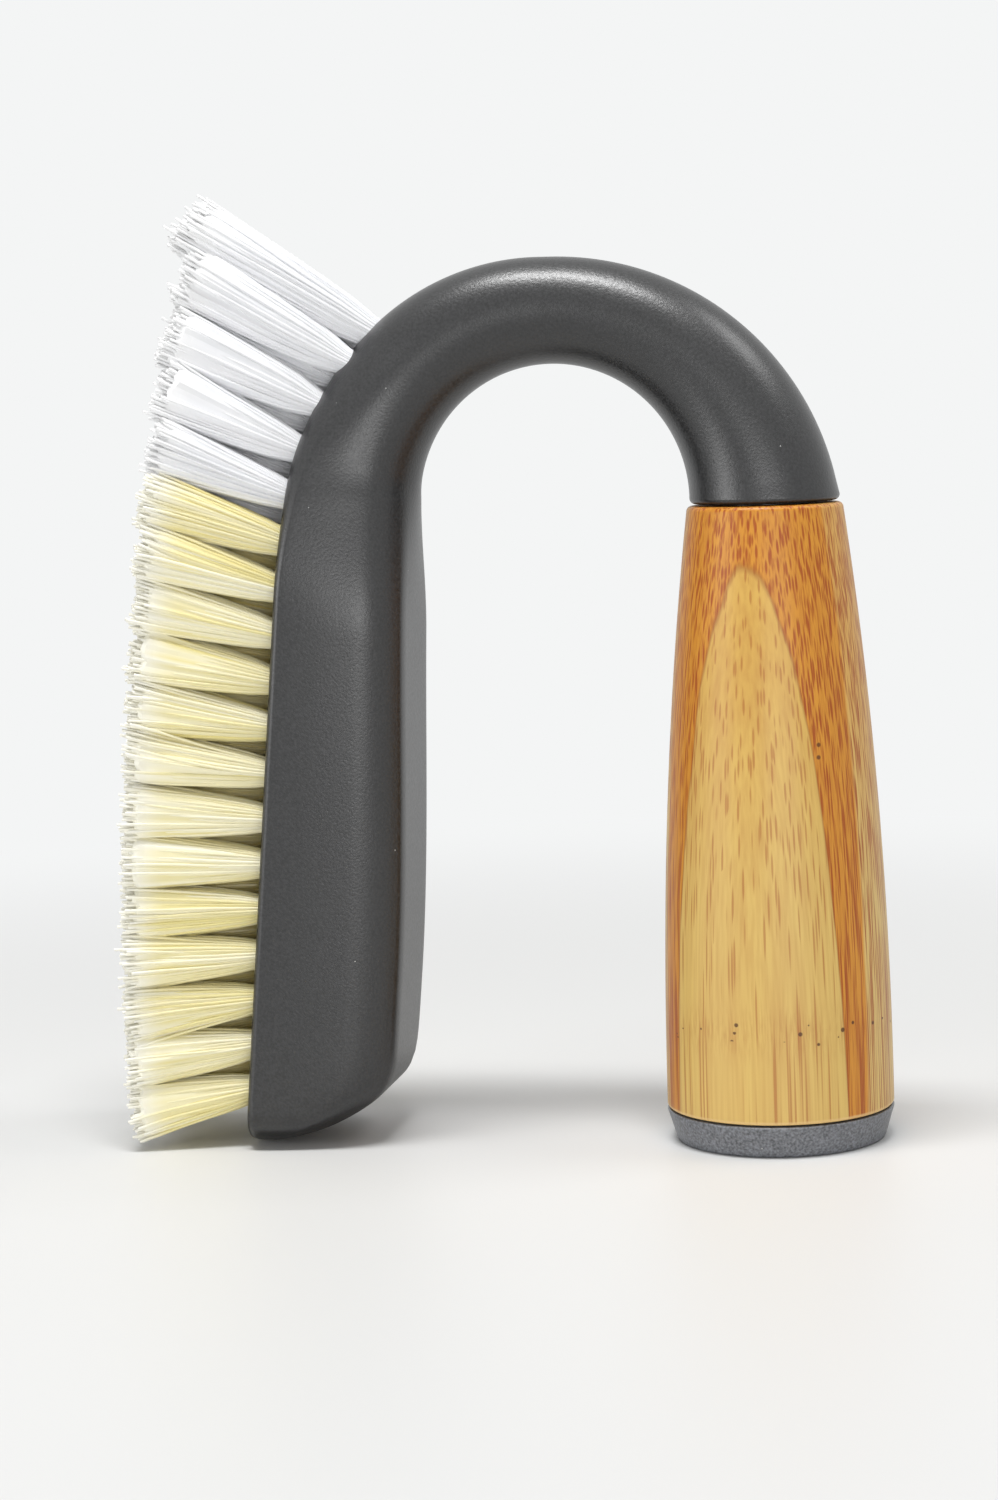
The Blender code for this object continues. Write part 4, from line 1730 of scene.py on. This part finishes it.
@dataclass(frozen=True)
class Softbox:
    """A lamp with a wide soft face that looks at the brush."""

    name: str
    place: tuple[float, float, float]
    width: float
    height: float
    power: float

    def build(self, target: Vector) -> None:
        """Makes the lamp.

        Args:
            target: what it looks at.
        """
        lamp = bpy.data.lights.new(self.name, "AREA")
        lamp.shape = "RECTANGLE"
        lamp.size = self.width
        lamp.size_y = self.height
        lamp.energy = self.power
        item = bpy.data.objects.new(self.name, lamp)
        bpy.context.scene.collection.objects.link(item)
        place = Vector(self.place)
        turn = (target - place).to_track_quat("-Z", "Y").to_matrix().to_4x4()
        item.matrix_world = Matrix.Translation(place) @ turn


@dataclass(frozen=True)
class Studio:
    """A pale floor, soft lamps, a white surround and the camera of the photograph's view."""

    plan: BrushPlan
    floor_colour: str = "#e2e2e1"
    surround_colour: str = "#f4f5f5"
    floor_radius: float = 2.5
    floor_sides: int = 96
    floor_roughness: float = 0.5
    floor_fade_start: float = 0.12
    floor_fade_end: float = 0.42
    ambient: float = 0.22
    camera_offset: tuple[float, float, float] = (0.0622, -0.5673, 0.1318)
    camera_azimuth: float = math.radians(11)
    camera_pitch: float = math.radians(6.24)
    camera_roll: float = math.radians(2.07)
    sensor: float = 36.0
    lens: float = 79.2
    nearest_seen: float = 0.01
    softboxes: tuple[Softbox, ...] = (
        Softbox("ceiling_softbox", (-0.04, -0.20, 1.09), 0.56, 0.19, 9.6),
        Softbox("front_softbox", (0.45, -1.28, 0.17), 0.9, 0.30, 4.4),
        Softbox("left_softbox", (-0.95, -0.75, 0.24), 0.6, 0.45, 3.3),
        Softbox("right_softbox", (0.60, 0.10, 0.85), 0.4, 0.30, 1.8),
    )

    def camera(self) -> None:
        """Makes the camera, which sees the whole brush as the photograph does."""
        cos_pitch, sin_pitch = math.cos(self.camera_pitch), math.sin(self.camera_pitch)
        azimuth = self.camera_azimuth
        ahead = Vector((-math.sin(azimuth) * cos_pitch, math.cos(azimuth) * cos_pitch, -sin_pitch))
        right = Vector((math.cos(azimuth), math.sin(azimuth), 0))
        above = right.cross(ahead)
        cos_roll, sin_roll = math.cos(self.camera_roll), math.sin(self.camera_roll)
        axes = (cos_roll * right - sin_roll * above, sin_roll * right + cos_roll * above, -ahead)
        data = bpy.data.cameras.new("camera")
        data.sensor_width = self.sensor
        data.lens = self.lens
        data.clip_start = self.nearest_seen
        camera = bpy.data.objects.new("camera", data)
        bpy.context.scene.collection.objects.link(camera)
        place = Vector(self.camera_offset) + Vector((self.plan.axis_x, 0, 0))
        camera.matrix_world = Matrix.Translation(place) @ Matrix(axes).transposed().to_4x4()
        bpy.context.scene.camera = camera

    def unseen_by_lamps(self, tree: bpy.types.NodeTree) -> bpy.types.Node:
        """Adds what tells the rays from the camera, from gloss and through glass from other light.

        Args:
            tree: the node tree that reads it.

        Returns:
            The node that gives 1 for them and 0 for light on the brush.
        """
        rays = add_node(tree, "ShaderNodeLightPath").outputs
        inputs = {0: rays["Is Camera Ray"], 1: rays["Is Glossy Ray"]}
        seen = add_node(tree, "ShaderNodeMath", inputs, operation="MAXIMUM")
        inputs = {0: seen, 1: rays["Is Transmission Ray"]}
        return add_node(tree, "ShaderNodeMath", inputs, operation="MAXIMUM")

    def surround(self) -> None:
        """Makes the world: white to look at, and a dimmer even light on the brush."""
        world = bpy.data.worlds.new("white_surround")
        bpy.context.scene.world = world
        world.use_nodes = True
        tree = world.node_tree
        inputs = {"Value": self.unseen_by_lamps(tree), "To Min": self.ambient, "To Max": 1.0}
        strength = add_node(tree, "ShaderNodeMapRange", inputs)
        inputs = {"Color": linear(self.surround_colour), "Strength": strength}
        set_inputs(tree, tree.nodes["Background"], inputs)

    def floor(self) -> None:
        """Makes the floor, which keeps the brush's shadow and fades into the surround."""
        shape = bmesh.new()
        bmesh.ops.create_circle(shape, cap_ends=True, segments=self.floor_sides, radius=self.floor_radius)
        piece = new_piece("floor", shape)
        # Matt paint, so that the shadow is soft and nothing mirrors in it
        material, tree, shader = new_material("painted_floor")
        place = add_node(tree, "ShaderNodeTexCoord").outputs["Object"]
        distance = add_node(tree, "ShaderNodeVectorMath", {0: place}, operation="LENGTH")
        away = add_node(
            tree,
            "ShaderNodeMapRange",
            {"Value": distance, "From Min": self.floor_fade_start, "From Max": self.floor_fade_end},
            interpolation_type="SMOOTHSTEP",
        )
        inputs = {0: away, 1: self.unseen_by_lamps(tree)}
        fade = add_node(tree, "ShaderNodeMath", inputs, operation="MULTIPLY")
        inputs = {"Color": linear(self.surround_colour), "Strength": 1.0}
        white = add_node(tree, "ShaderNodeEmission", inputs)
        mixed = add_node(tree, "ShaderNodeMixShader", {0: fade, 1: shader.outputs["BSDF"], 2: white})
        set_inputs(tree, tree.nodes["Material Output"], {"Surface": mixed})
        inputs = {"Base Color": linear(self.floor_colour), "Roughness": self.floor_roughness}
        set_inputs(tree, shader, inputs)
        piece.data.materials.append(material)

    def build(self) -> None:
        """Makes the whole studio."""
        self.camera()
        self.surround()
        self.floor()
        low, high = CAD_BOX
        for softbox in self.softboxes:
            softbox.build((low + high) / 2)
        bpy.context.scene.view_settings.view_transform = "Standard"


def main() -> None:
    """Builds the brush piece by piece, then its studio."""
    logging.basicConfig(level=logging.INFO, format="%(message)s")
    low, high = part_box("bamboo_grip")
    plan = BrushPlan(
        axis_x=(low.x + high.x) / 2,
        grip_foot=low.z,
        grip_top=high.z,
        grip_base_radius=(high.x - low.x) / 2,
    )
    grey = MouldedPlastic("spark_eroded_polypropylene", "#1c1c1d", 0.34)
    cap_grey = MouldedPlastic("cap_polypropylene", "#66686d", 0.42)
    moulding = HeadAndNeck(plan, grey)
    rows = TuftRows(
        plan,
        moulding,
        FibreShape(),
        NylonFilament("cream_nylon_filament", "#e9dc94", "#f8f3d8", "#f7f5ea"),
        NylonFilament("white_nylon_filament", "#e6e7ea", "#f1f1f3", "#f5f5f5"),
        # Painted warm light: golden colours on the middle row between the cream rows stand for light that
        # comes through the cream rows
        NylonFilament("white_nylon_painted_warm_light", "#f3e08c", "#f6e9b0", "#f5f5f5"),
    )
    grip = BambooGrip(plan, TurnedBamboo("varnished_bamboo", plan.axis_x, plan.grip_foot))
    moulding.build(rows.tufts())
    grip.build()
    EndCap(plan, cap_grey, grip.access_radius - plan.fit_gap).build()
    GripFixing(ZincPlatedSteel("zinc_plated_steel")).build()
    rows.build()
    Studio(plan).build()


if __name__ == "__main__":
    main()
